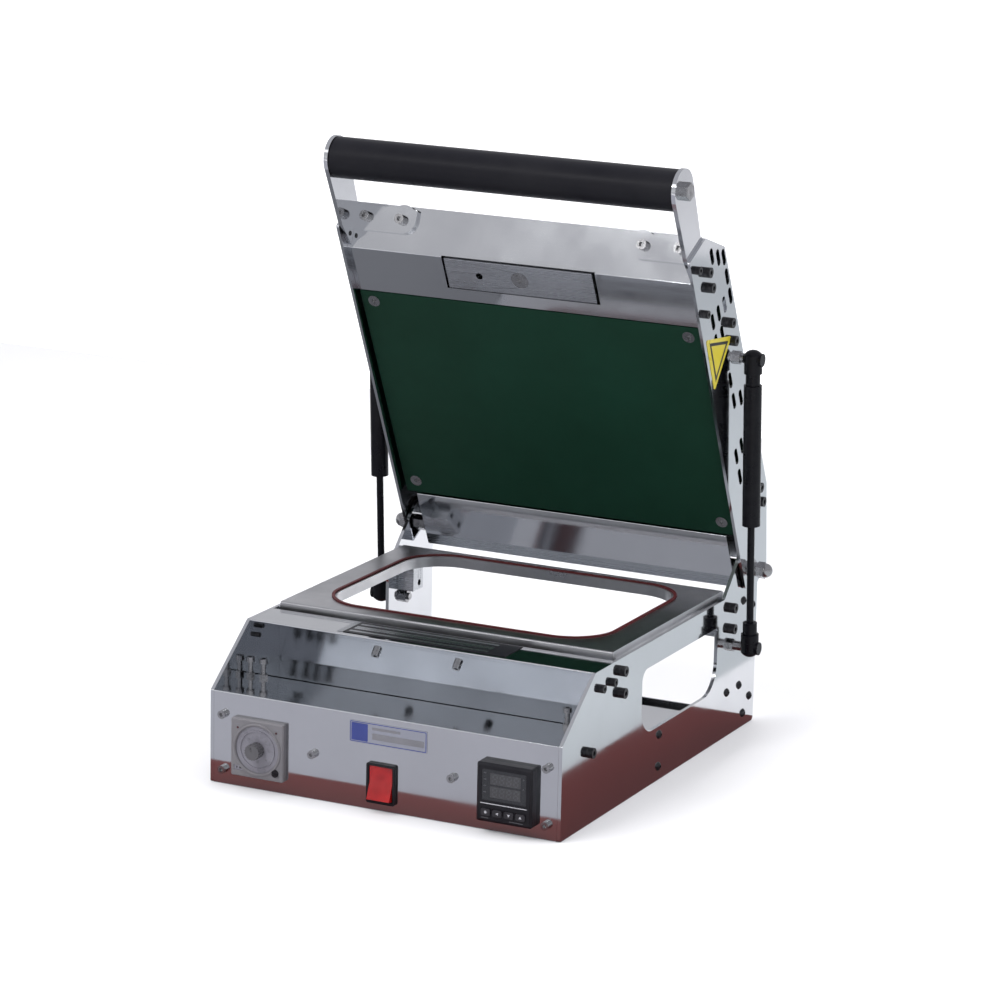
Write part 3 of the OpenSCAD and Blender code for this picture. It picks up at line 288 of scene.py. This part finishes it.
# One finish for each material slot of the record
FINISHES = {
    "polished_steel": polished_sheet("polished_sheet", (0.70, 0.715, 0.74)),
    "brushed_steel": ground_steel("ground_steel", (0.60, 0.62, 0.65), brush=(8, 1400, 1400)),
    "milled_aluminium": milled_aluminium("milled_aluminium", (0.62, 0.62, 0.64), (0.52, 0.525, 0.54)),
    "fastener_steel": bright_fastener("bright_fastener", (0.46, 0.46, 0.47)),
    "black_screws": black_oxide(),
    "seal_silicone": silicone("seal_silicone", (0.085, 0.012, 0.014)),
    "coated_heater": coated_heater(),
    "black_plastic": plastic("black_plastic", (0.008, 0.008, 0.011), 0.38, Specular_IOR_Level=0.3),
    "dark_plastic": plastic("dark_plastic", (0.045, 0.045, 0.05), 0.5),
    "grey_plastic": plastic("grey_plastic", (0.155, 0.15, 0.162), 0.42),
    "dial_face": plastic("dial_face", (0.19, 0.185, 0.215), 0.3),
    "knob_plastic": plastic("knob_plastic", (0.085, 0.083, 0.09), 0.3),
    "display_window": smoked_window(),
    "key_rubber": silicone("key_rubber", (0.028, 0.027, 0.033)),
    "red_rocker": translucent_red(),
    "name_plate": polished_sheet("name_plate", (0.60, 0.62, 0.68)),
    "cream_plastic": plastic("cream_plastic", (0.66, 0.64, 0.57), 0.5),
    "cast_case": ground_steel("cast_case", (0.48, 0.49, 0.51), brush=(1400, 8, 8)),
    "mica": mica(),
    "ceramic_wool": felt_wool(),
    "grip_plastic": grip_plastic(),
    "spring_black": spring_lacquer(),
    "yellow_label": plastic("yellow_label", (0.50, 0.42, 0.030), 0.3, grain=0.000004),
}
# Prints, signs and lamps on the fronts
INK = {
    "black": plastic("ink_black", (0.02, 0.02, 0.022), 0.5),
    "grey": plastic("ink_grey", (0.16, 0.16, 0.18), 0.5),
    "light": plastic("ink_light", (0.42, 0.42, 0.45), 0.45),
    "white": plastic("ink_white", (0.80, 0.80, 0.80), 0.4),
    "blue": plastic("ink_blue", (0.030, 0.045, 0.20), 0.35),
    "segment": plastic("segment_grey", (0.060, 0.062, 0.070), 0.35),
    "led": silicone("led_lens", (0.06, 0.004, 0.008)),
}


def finish_nodes():
    for part in frame["record"]["subparts"]:
        obj = NODES[part["node"]]
        obj.data.materials.clear()
        obj.data.materials.append(FINISHES[part["material_slot"]])
        obj.data.shade_smooth()


# Sheet and block nodes that get a small rounded edge, with its width in millimetres
EDGES = {
    "side_plate_left": 0.3, "side_plate_right": 0.3, "front_panel": 0.25, "deck": 0.25,
    "lid_side_left": 0.3, "lid_side_right": 0.3, "lid_front": 0.25, "lid_cover": 0.25,
    "handle_brackets": 0.4, "tray_plate": 0.3, "armature_plate": 0.4, "support_blocks": 0.4,
    "rear_tie": 0.4, "magnet_housing": 0.4, "timer_bezel": 0.3, "controller_bezel": 0.3,
    "switch_frame": 0.3, "heater_plate": 0.4, "handle_grip": 0.8, "relay": 0.5,
    "power_supply": 0.4, "terminal_block": 0.4, "timer_case": 0.5, "controller_case": 0.5,
    "heater_hangers": 0.4,
}
WELD_DISTANCE = 0.001 * MM
BEVEL_ANGLE = radians(40)


def soften_edges():
    for name, obj in NODES.items():
        weld = obj.modifiers.new("weld", "WELD")
        weld.merge_threshold = WELD_DISTANCE
        if name in EDGES:
            bevel = obj.modifiers.new("edges", "BEVEL")
            bevel.width = EDGES[name] * MM
            bevel.segments = 2
            bevel.limit_method = "ANGLE"
            bevel.angle_limit = BEVEL_ANGLE
            bevel.harden_normals = False
        split = obj.modifiers.new("sharp", "EDGE_SPLIT")
        split.split_angle = SHARP_ANGLE
        # Keeps flat faces truly flat in reflections, next to bends and rounded edges
        even = obj.modifiers.new("even", "WEIGHTED_NORMAL")
        even.mode = "FACE_AREA"
        even.weight = 100
        even.keep_sharp = True


# ---------------------------------------------------------------- tools for the detail pieces

def new_piece(name, mesh_builder, material, body, place):
    """A mesh piece made by mesh_builder(bm), set in place, that rides on a body."""
    mesh = bpy.data.meshes.new(name)
    bm = bmesh.new()
    mesh_builder(bm)
    bmesh.ops.recalc_face_normals(bm, faces=bm.faces)
    bm.transform(place)
    bm.to_mesh(mesh)
    bm.free()
    mesh.materials.append(material)
    obj = bpy.data.objects.new(name, mesh)
    bpy.context.scene.collection.objects.link(obj)
    mesh.shade_smooth()
    split = obj.modifiers.new("sharp", "EDGE_SPLIT")
    split.split_angle = SHARP_ANGLE
    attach(obj, body)


def number(name, text, size, material, body, place):
    """A digit or number as a thin raised print."""
    curve = bpy.data.curves.new(name, "FONT")
    curve.body = text
    curve.size = size
    curve.extrude = 0.04 * MM
    curve.align_x = "CENTER"
    curve.align_y = "CENTER"
    curve.resolution_u = 3
    curve.materials.append(material)
    obj = bpy.data.objects.new(name, curve)
    bpy.context.scene.collection.objects.link(obj)
    obj.matrix_world = place
    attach(obj, body)


def prism(bm, outline, low, high):
    """A closed solid between two heights over an outline of (x, y) points."""
    bottom = [bm.verts.new((x, y, low)) for x, y in outline]
    top = [bm.verts.new((x, y, high)) for x, y in outline]
    bm.faces.new(list(reversed(bottom)))
    bm.faces.new(top)
    count = len(outline)
    for i in range(count):
        j = (i + 1) % count
        bm.faces.new((bottom[i], bottom[j], top[j], top[i]))


def arc(centre, radius, start, end, steps):
    """Points on an arc, with its angles in degrees."""
    angles = [radians(start + (end - start) * i / steps) for i in range(steps + 1)]
    return [(centre[0] + radius * cos(a), centre[1] + radius * sin(a)) for a in angles]


def round_box(width, height, radius, middle=(0, 0)):
    x, y = width / 2 - radius, height / 2 - radius
    points = []
    for turn, (sx, sy) in enumerate(((1, 1), (-1, 1), (-1, -1), (1, -1))):
        corner = (middle[0] + sx * x, middle[1] + sy * y)
        points += arc(corner, radius, 90 * turn, 90 * turn + 90, steps=5)
    return points


def patches(layer, rows):
    """A mesh builder of round-cornered patches: width, height, radius and middle (x, y)."""
    def build(bm):
        for width, height, radius, x, y in rows:
            prism(bm, round_box(width, height, radius, (x, y)), *layer)
    return build


def lathe(bm, profile, steps):
    """Turns a closed profile of (radius, height) points about the Z axis."""
    rings = []
    for i in range(steps):
        angle = 2 * pi * i / steps
        rings.append([bm.verts.new((r * cos(angle), r * sin(angle), z)) for r, z in profile])
    count = len(profile)
    for i in range(steps):
        a, b = rings[i], rings[(i + 1) % steps]
        for k in range(count):
            n = (k + 1) % count
            bm.faces.new((a[k], b[k], b[n], a[n]))


def band(bm, lines):
    """A closed band whose four-cornered section follows four lines of matching points."""
    rings = [[bm.verts.new(point) for point in line] for line in lines]
    for a, b in zip(rings, rings[1:] + rings[:1]):
        count = len(a)
        for i in range(count):
            j = (i + 1) % count
            bm.faces.new((a[i], a[j], b[j], b[i]))


def facing_front(x, y, z):
    """Local X runs to the right, local Y up and local Z out of the front panel."""
    return Matrix.Translation((x, y, z)) @ Matrix.Rotation(radians(90), 4, "X")


def front_of(node):
    """The middle of a node's front, facing out of the front panel."""
    low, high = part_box(node)
    centre = (low + high) / 2
    return facing_front(centre.x, low.y, centre.z)


# ---------------------------------------------------------------- timer

# The scale runs clockwise from the lower left. Heights count from the bezel's front.
SCALE_START, SCALE_SWEEP = 225, 270
SCALE_STEPS, STEPS_PER_NUMBER = 30, 5
TICK_RADIUS, TICK_HALF_WIDTH = 0.0142, 0.00012
SHORT_TICK, LONG_TICK = 0.0009, 0.0016
NUMBER_RADIUS, NUMBER_SIZE, NUMBER_HEIGHT = 0.0109, 0.0024, -0.00096
DIAL_HEIGHT = -0.0011
TICK_LAYER = (-0.00102, -0.00092)
DIAL_BAR_LAYER = (-0.00105, -0.00090)
WINDOW_LAYER = (DIAL_HEIGHT, -0.0004)
WINDOW_PRINT_LAYER = (-0.0004, -0.0003)
LABEL_LAYER = (-0.0001, 0.0001)
LAMP_LAYER = (-0.0001, 0.0003)
RING_STEPS = 72
OUTER_RING = [(0.0194, DIAL_HEIGHT), (0.0218, -0.0006), (0.0218, 0.0004), (0.0212, 0.0009),
              (0.0203, 0.0009), (0.0194, 0.0001)]
INNER_RING = [(0.0148, DIAL_HEIGHT), (0.0160, DIAL_HEIGHT), (0.0158, -0.0003), (0.0151, -0.0003)]
WINDOW_POINTER = [(-0.0192, -0.0160), (-0.0176, -0.0160), (-0.0184, -0.0182)]
KNOB_REST_TURN = radians(20)


def scale_angle(share):
    return radians(SCALE_START - SCALE_SWEEP * share)


def timer_face():
    """The dial's raised ring, scale, numbers, window, lamps and selector marks."""
    face = front_of("timer_bezel")

    def ticks(bm):
        for i in range(SCALE_STEPS + 1):
            turn = Matrix.Rotation(scale_angle(i / SCALE_STEPS), 4, "Z")
            inner = TICK_RADIUS - (SHORT_TICK if i % STEPS_PER_NUMBER else LONG_TICK)
            points = [(inner, -TICK_HALF_WIDTH), (TICK_RADIUS, -TICK_HALF_WIDTH),
                      (TICK_RADIUS, TICK_HALF_WIDTH), (inner, TICK_HALF_WIDTH)]
            prism(bm, [tuple((turn @ Vector((x, y, 0))).xy) for x, y in points], *TICK_LAYER)

    def labels(bm):
        patches(LABEL_LAYER, [(0.0042, 0.0009, 0.0002, side * 0.0175, 0.0192) for side in (-1, 1)])(bm)
        patches(DIAL_BAR_LAYER, [(0.0035 - 0.0006 * k, 0.0006, 0.0001, 0, -0.0085 - 0.0011 * k)
                                 for k in range(3)])(bm)
        patches(LABEL_LAYER, [(0.0012, 0.0012, 0.0002, x, y) for x, y in
                              ((0.0135, -0.0205), (0.0205, -0.0205), (0.0212, -0.0135))])(bm)

    def window_print(bm):
        prism(bm, WINDOW_POINTER, *WINDOW_PRINT_LAYER)
        patches(WINDOW_PRINT_LAYER, [(0.0022, 0.0014, 0.0003, -0.0152, -0.0170)])(bm)

    lamps = patches(LAMP_LAYER, [(0.0017, 0.0017, 0.0008, side * 0.0175, 0.0165) for side in (-1, 1)])
    window = patches(WINDOW_LAYER, [(0.0078, 0.0038, 0.0004, -0.017, -0.017)])

    new_piece("timer_ring", lambda bm: lathe(bm, OUTER_RING, RING_STEPS), FINISHES["grey_plastic"],
              "base", face)
    new_piece("timer_inner_ring", lambda bm: lathe(bm, INNER_RING, RING_STEPS), FINISHES["dial_face"],
              "base", face)
    new_piece("timer_ticks", ticks, INK["grey"], "base", face)
    count = SCALE_STEPS // STEPS_PER_NUMBER
    for i in range(count + 1):
        angle = scale_angle(i / count)
        spot = Matrix.Translation((NUMBER_RADIUS * cos(angle), NUMBER_RADIUS * sin(angle), NUMBER_HEIGHT))
        number(f"timer_number_{i}", str(i * STEPS_PER_NUMBER), NUMBER_SIZE, INK["grey"], "base",
               face @ spot)
    new_piece("timer_lamps", lamps, INK["led"], "base", face)
    new_piece("timer_labels", labels, INK["grey"], "base", face)
    new_piece("timer_window", window, FINISHES["dial_face"], "base", face)
    new_piece("timer_window_print", window_print, INK["black"], "base", face)


def timer_knob_detail():
    """The light line on the knob's face."""
    face = front_of("timer_knob") @ Matrix.Rotation(KNOB_REST_TURN, 4, "Z")
    line = patches((-0.00006, 0.0), [(0.0005, 0.0032, 0.0002, 0, 0.0029)])
    new_piece("timer_knob_line", line, INK["light"], "timer_knob", face)


# ---------------------------------------------------------------- temperature controller

# A digit's bars: the middle as a share of half the width and height, and whether it stands upright
SEGMENTS = ((0, 1, 0), (1, 0.5, 1), (1, -0.5, 1), (0, -1, 0), (-1, -0.5, 1), (-1, 0.5, 1), (0, 0, 0))
DIGIT_LEAN, DIGIT_WIDTH, DIGIT_PITCH = 0.12, 0.0034, 0.0061
DIGIT_ROWS = ((1, 0.0070), (-1, 0.0066))
DISPLAY_SHIFT, ROW_OFFSET = 0.0012, 0.0053
DIGIT_LAYER = (-0.00005, 0.00006)
DISPLAY_LAYER = (-0.0001, 0.00002)
SIGN_LAYER = (-0.0001, 0.00006)
DIVIDER_LAYER = (-0.0001, 0.00012)
BEZEL_PRINT_LAYER = (-0.0001, 0.00008)
KEY_SIGN_SIZE = 0.0012


def seven_segments(bm, centre, width, height, low, high):
    """An unlit seven-segment digit as seven six-sided bars, leaning slightly."""
    half = height / 12
    for sx, sy, upright in SEGMENTS:
        x, y = centre[0] + sx * width / 2, centre[1] + sy * height / 2
        reach = (height / 2 if upright else width) / 2 - half * 0.75
        flat = [(-reach, 0), (-reach + half, half), (reach - half, half), (reach, 0),
                (reach - half, -half), (-reach + half, -half)]
        points = [(x - b, y + a) if upright else (x + a, y + b) for a, b in flat]
        prism(bm, [(px + DIGIT_LEAN * (py - centre[1]), py) for px, py in points], low, high)


def controller_face():
    """Two rows of four digits, a divider, corner marks and plain print."""
    face = front_of("controller_display")

    def digits(bm):
        for row, height in DIGIT_ROWS:
            for i in range(4):
                centre = ((i - 1.5) * DIGIT_PITCH + DISPLAY_SHIFT, row * ROW_OFFSET)
                seven_segments(bm, centre, DIGIT_WIDTH, height, *DIGIT_LAYER)

    windows = patches(DISPLAY_LAYER, [(0.0262, 0.0091, 0.0005, DISPLAY_SHIFT, row * ROW_OFFSET)
                                      for row in (1, -1)])
    bars = [(0.0020, 0.0008, 0.0002, -0.0165, 0.0095 - 0.0052 * k) for k in range(4)]
    dots = [(0.0012, 0.0012, 0.0005, 0.0167, y) for y in (0.0085, 0.0005)]
    marks = patches(SIGN_LAYER, bars + dots)

    new_piece("display_windows", windows, FINISHES["dark_plastic"], "base", face)
    new_piece("display_digits", digits, INK["segment"], "base", face)
    new_piece("display_marks", marks, INK["segment"], "base", face)

    # The print on the bezel lines up with the display
    low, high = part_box("controller_bezel")
    bezel = facing_front(face.translation.x, low.y, (low.z + high.z) / 2)
    divider = patches(DIVIDER_LAYER, [(0.0400, 0.0007, 0.0002, 0, -0.0085)])
    print_marks = patches(BEZEL_PRINT_LAYER, [(0.0062, 0.0009, 0.0002, -0.0160, -0.0203),
                                              (0.0120, 0.0007, 0.0002, 0.0110, -0.0206)])
    new_piece("display_divider", divider, INK["light"], "base", bezel)
    new_piece("bezel_marks", print_marks, INK["segment"], "base", bezel)


def key_signs():
    """A round, a left, a down and an up sign on the four keys."""
    size = KEY_SIGN_SIZE
    triangle = [(-size, 0), (size * 0.8, size), (size * 0.8, -size)]
    signs = {
        "key_set": arc((0, 0), size * 0.9, 0, 337.5, 15),
        "key_shift": triangle,
        "key_down": [(-y, x) for x, y in triangle],
        "key_up": [(y, -x) for x, y in triangle],
    }
    for node, outline in signs.items():
        new_piece(f"{node}_sign", lambda bm: prism(bm, outline, *SIGN_LAYER), INK["light"], node,
                  front_of(node))


# ---------------------------------------------------------------- switch, name plate and label

ROCKER_TILT = radians(11)
ROCKER_PROUD = 0.0016
ROCKER_SIGN_SHARE = 0.55
ROCKER_LAYER = (-0.0002, 0.00022)
OFF_RING_RADII = (0.0021, 0.0027)
LABEL_PRINT_LAYER = (-0.00005, 0.00008)
BORDER_OUTER, BORDER_INNER = 0.80, 0.62


def rocker_signs():
    """The on bar and the off ring, each on its half of the rocker's face."""
    low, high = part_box("switch_rocker")
    pivot = JOINTS["switch_rocker"]["pos_m"]
    reach = (high.z - low.z) / 2 * ROCKER_SIGN_SHARE
    inner, outer = OFF_RING_RADII
    back, front = ROCKER_LAYER

    def on_half(side):
        lean = Matrix.Rotation(-ROCKER_TILT, 4, "X") @ facing_front(0, -ROCKER_PROUD, 0)
        slope = Matrix.Rotation(-side * ROCKER_TILT, 4, "X")
        return Matrix.Translation(pivot) @ lean @ slope @ Matrix.Translation((0, side * reach, 0))

    def ring(bm):
        lathe(bm, [(inner, back), (outer, back), (outer, front), (inner, front)], steps=48)

    bar = patches(ROCKER_LAYER, [(0.0008, 0.0052, 0.0003, 0, 0)])
    new_piece("rocker_ring", ring, INK["white"], "switch_rocker", on_half(1))
    new_piece("rocker_bar", bar, INK["white"], "switch_rocker", on_half(-1))


def name_plate_print():
    """A plain coloured panel and two plain bars, with no lettering."""
    low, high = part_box("name_plate")
    face = front_of("name_plate")
    width, height = high.x - low.x, high.z - low.z
    back, front = LABEL_PRINT_LAYER

    def frame_line(bm):
        outer = round_box(width - 0.0014, height - 0.0014, 0.0010)
        inner = round_box(width - 0.0026, height - 0.0026, 0.0006)
        lines = ((outer, back), (outer, front), (inner, front), (inner, back))
        band(bm, [[(x, y, z) for x, y in line] for line, z in lines])

    panel = patches(LABEL_PRINT_LAYER, [(0.0145, height - 0.0036, 0.0006, -width / 2 + 0.0092, 0)])
    bars = patches(LABEL_PRINT_LAYER, [(0.0460, 0.0052, 0.0008, 0.0088, -0.0021),
                                       (0.0250, 0.0022, 0.0004, -0.0017, 0.0042)])
    new_piece("name_plate_line", frame_line, INK["blue"], "base", face)
    new_piece("name_plate_panel", panel, INK["blue"], "base", face)
    new_piece("name_plate_bars", bars, INK["grey"], "base", face)


def lid_turn():
    """The turn that brings the closed lid to where it stands open."""
    joint = JOINTS["lid_hinge"]
    return Matrix.Translation(joint["pos_m"]) @ Matrix.Rotation(-radians(joint["range_deg"][1]), 4, "X")


def triangle_border():
    """A dark border inside the yellow triangle, with nothing drawn in it."""
    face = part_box("warning_triangle")[1].x
    back, front = face + LABEL_PRINT_LAYER[0], face + LABEL_PRINT_LAYER[1]
    closed = lid_turn().inverted()
    points = [closed @ v.co for v in NODES["warning_triangle"].data.vertices]
    corners = [min(points, key=lambda p: p.y), max(points, key=lambda p: p.y),
               max(points, key=lambda p: p.z)]
    centre = sum(corners, Vector()) / 3
    outer = [centre + (c - centre) * BORDER_OUTER for c in corners]
    inner = [centre + (c - centre) * BORDER_INNER for c in corners]

    def border(bm):
        lines = ((outer, back), (outer, front), (inner, front), (inner, back))
        band(bm, [[(x, p.y, p.z) for p in line] for line, x in lines])

    new_piece("warning_border", border, INK["black"], "lid", lid_turn())


# ---------------------------------------------------------------- stage, light and camera

WHITE_PAINT = (0.86, 0.86, 0.87)
FLOOR_SIZE = 40
FLOOR_GAP = 0.0002
# The backdrop starts on the floor, bends up with this radius and ends at this height
BACKDROP_START, BACKDROP_BEND, BACKDROP_RADIUS = 1.2, 2.2, 0.8
BACKDROP_TOP, BACKDROP_HALF_WIDTH = 4.0, 5
# The bench's sheets end this far from the machine, and reach this far away
BOARD_LEFT, BOARD_RIGHT, BOARD_NEAR, BOARD_DEPTH = 0.06, 0.075, 0.051, 0.39
BENCH_FAR = 1.8
CARD_COLOURS = {
    "bench_left": (0.115, 0.118, 0.13),
    "bench_right": (0.50, 0.53, 0.545),
    "bench_board": (0.10, 0.008, 0.006),
    # The grey sheet in front is painted shade: it stands for the white bench lying in shade in front of the
    # machine
    "painted_bench_shade": (0.29, 0.29, 0.32),
}
# Where a lamp is, what it aims at, its size and its power in watts
UNSEEN_LIGHTS = {
    "key_light": ((-1.2, -1.8, 2.6), (0, 0, 0.15), (2.2, 1.6), 60),
    "fill_light": ((2.4, 0.6, 1.8), (0, 0, 0.2), (1.6, 1.6), 35),
    "top_light": ((0, 0.5, 2.8), (0, 0, 0), (2.6, 2.6), 45),
}
REFLECTED_LIGHTS = {
    "grip_light": ((-0.4, -1.9, 1.5), (0, -0.1, 0.4), (0.9, 0.08), 3),
    "recess_light": ((-5.3, -9.5, 6.9), (0, -0.1, 0.1), (5.5, 2.6), 46),
}
# The room's colour from straight down to straight up
SKY_STOPS = ((0.0, (0.80, 0.81, 0.83)), (0.25, (0.62, 0.62, 0.65)), (0.5, (0.55, 0.55, 0.58)),
             (1.0, (0.53, 0.53, 0.57)))
SKY_STRENGTH = 0.9
CAMERA_PLACE = (1.41853, -2.87940, 0.99593)
CAMERA_AZIMUTH, CAMERA_ELEVATION, CAMERA_ROLL = radians(26.13), radians(13.7), radians(-1.2)
CAMERA_LENS, CAMERA_SENSOR = 145.74, 36


def view_transform():
    view = bpy.context.scene.view_settings
    view.view_transform = "Standard"
    view.look = "None"
    view.exposure = 0
    view.gamma = 1


def stage_piece(name, mesh_builder, paint, height=0.0, hidden_from=()):
    """A piece of the stage, at a height over the floor, that some kinds of ray pass through."""
    mesh = bpy.data.meshes.new(name)
    bm = bmesh.new()
    mesh_builder(bm)
    bm.to_mesh(mesh)
    bm.free()
    mesh.shade_smooth()
    mesh.materials.append(paint.material)
    obj = bpy.data.objects.new(name, mesh)
    obj.location.z = height
    for ray in hidden_from:
        setattr(obj, f"visible_{ray}", False)
    bpy.context.scene.collection.objects.link(obj)


def floor():
    def sheet(bm):
        bmesh.ops.create_grid(bm, x_segments=1, y_segments=1, size=FLOOR_SIZE)

    paint = Paint("floor_paint", WHITE_PAINT, roughness=0.75, Specular_IOR_Level=0.1)
    stage_piece("floor", sheet, paint, FLOOR_Z - FLOOR_GAP)


def backdrop():
    """A lit white sweep behind the machine, seen by the camera and kept out of the mirrors."""
    outline = [(BACKDROP_START, 0.0)]
    for angle in range(0, 91, 10):
        turn = radians(angle)
        outline.append((BACKDROP_BEND + BACKDROP_RADIUS * sin(turn), BACKDROP_RADIUS * (1 - cos(turn))))
    outline.append((BACKDROP_BEND + BACKDROP_RADIUS, BACKDROP_TOP))

    def sweep(bm):
        rows = [[bm.verts.new((x, y, FLOOR_Z + z)) for x in (-BACKDROP_HALF_WIDTH, BACKDROP_HALF_WIDTH)]
                for y, z in outline]
        for a, b in zip(rows, rows[1:]):
            bm.faces.new((a[0], a[1], b[1], b[0]))

    paint = Paint("backdrop_paint", WHITE_PAINT, roughness=0.8, Emission_Color=(1, 1, 1, 1),
                  Emission_Strength=0.55)
    stage_piece("backdrop", sweep, paint, hidden_from=("diffuse", "glossy", "shadow"))


def card(name, near_left, far_right, height):
    """A sheet on the floor that is seen only in reflections, as the bench under the machine is; the grey sheet in
    front of the machine is painted shade.
    """
    (left, near), (right, far) = near_left, far_right

    def sheet(bm):
        corners = ((left, near), (right, near), (right, far), (left, far))
        bm.faces.new([bm.verts.new((x, y, 0)) for x, y in corners])

    paint = Paint(f"{name}_paint", CARD_COLOURS[name], roughness=0.6)
    stage_piece(name, sheet, paint, FLOOR_Z + height, hidden_from=("camera", "diffuse", "shadow"))


def bench():
    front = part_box("front_panel")[0].y
    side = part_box("side_plate_right")[1].x
    left, right, near = -side - BOARD_LEFT, side + BOARD_RIGHT, front - BOARD_NEAR
    card("bench_left", (-BENCH_FAR, near), (left, front + 0.6), 0.0003)
    card("bench_right", (right, front - 0.4), (side + BENCH_FAR, front + 2.4), 0.0002)
    card("bench_board", (left, near), (right, front + BOARD_DEPTH), 0.0004)
    # Painted shade: a grey sheet in front of the machine, seen only in the polished fronts
    card("painted_bench_shade", (-2.5, front - 1.6), (side + 0.1, near), 0.0003)


def area_light(name, place, target, size, power, seen_in_mirrors):
    data = bpy.data.lights.new(name, "AREA")
    data.shape = "RECTANGLE"
    data.size, data.size_y = size
    data.energy = power
    obj = bpy.data.objects.new(name, data)
    obj.location = place
    obj.rotation_euler = (Vector(target) - Vector(place)).to_track_quat("-Z", "Y").to_euler()
    obj.visible_glossy = seen_in_mirrors
    bpy.context.scene.collection.objects.link(obj)


def lights():
    for name, values in UNSEEN_LIGHTS.items():
        area_light(name, *values, seen_in_mirrors=False)
    for name, values in REFLECTED_LIGHTS.items():
        area_light(name, *values, seen_in_mirrors=True)


def sky():
    """Pale room: bright low down, and darker overhead, which the polished sheets show as tone."""
    world = bpy.data.worlds.new("room")
    bpy.context.scene.world = world
    world.use_nodes = True
    tree = world.node_tree
    place = tree.nodes.new("ShaderNodeTexCoord")
    split = tree.nodes.new("ShaderNodeSeparateXYZ")
    ramp = tree.nodes.new("ShaderNodeValToRGB")
    tree.links.new(place.outputs["Generated"], split.inputs[0])
    tree.links.new(split.outputs["Z"], ramp.inputs["Fac"])
    tree.links.new(ramp.outputs["Color"], tree.nodes["Background"].inputs["Color"])
    stops = ramp.color_ramp.elements
    for stop, (position, colour) in zip((stops[0], stops[1]), (SKY_STOPS[0], SKY_STOPS[-1])):
        stop.position = position
        stop.color = (*colour, 1)
    for position, colour in SKY_STOPS[1:-1]:
        stops.new(position).color = (*colour, 1)
    tree.nodes["Background"].inputs["Strength"].default_value = SKY_STRENGTH


def camera():
    """Looks from the front right, a little above the lid, with the small roll of a held camera."""
    azimuth, elevation, roll = CAMERA_AZIMUTH, CAMERA_ELEVATION, CAMERA_ROLL
    back = Vector((sin(azimuth) * cos(elevation), -cos(azimuth) * cos(elevation), sin(elevation)))
    right = Vector((cos(azimuth), sin(azimuth), 0))
    up = back.cross(right)
    across = cos(roll) * right - sin(roll) * up
    upward = sin(roll) * right + cos(roll) * up
    data = bpy.data.cameras.new("camera")
    data.sensor_width = CAMERA_SENSOR
    data.lens = CAMERA_LENS
    obj = bpy.data.objects.new("camera", data)
    place = Matrix((across, upward, back)).transposed().to_4x4()
    place.translation = Vector(CAMERA_PLACE)
    obj.matrix_world = place
    bpy.context.scene.collection.objects.link(obj)
    bpy.context.scene.camera = obj


view_transform()
camera()
finish_nodes()
soften_edges()
timer_face()
timer_knob_detail()
controller_face()
key_signs()
rocker_signs()
name_plate_print()
triangle_border()
floor()
backdrop()
bench()
sky()
lights()
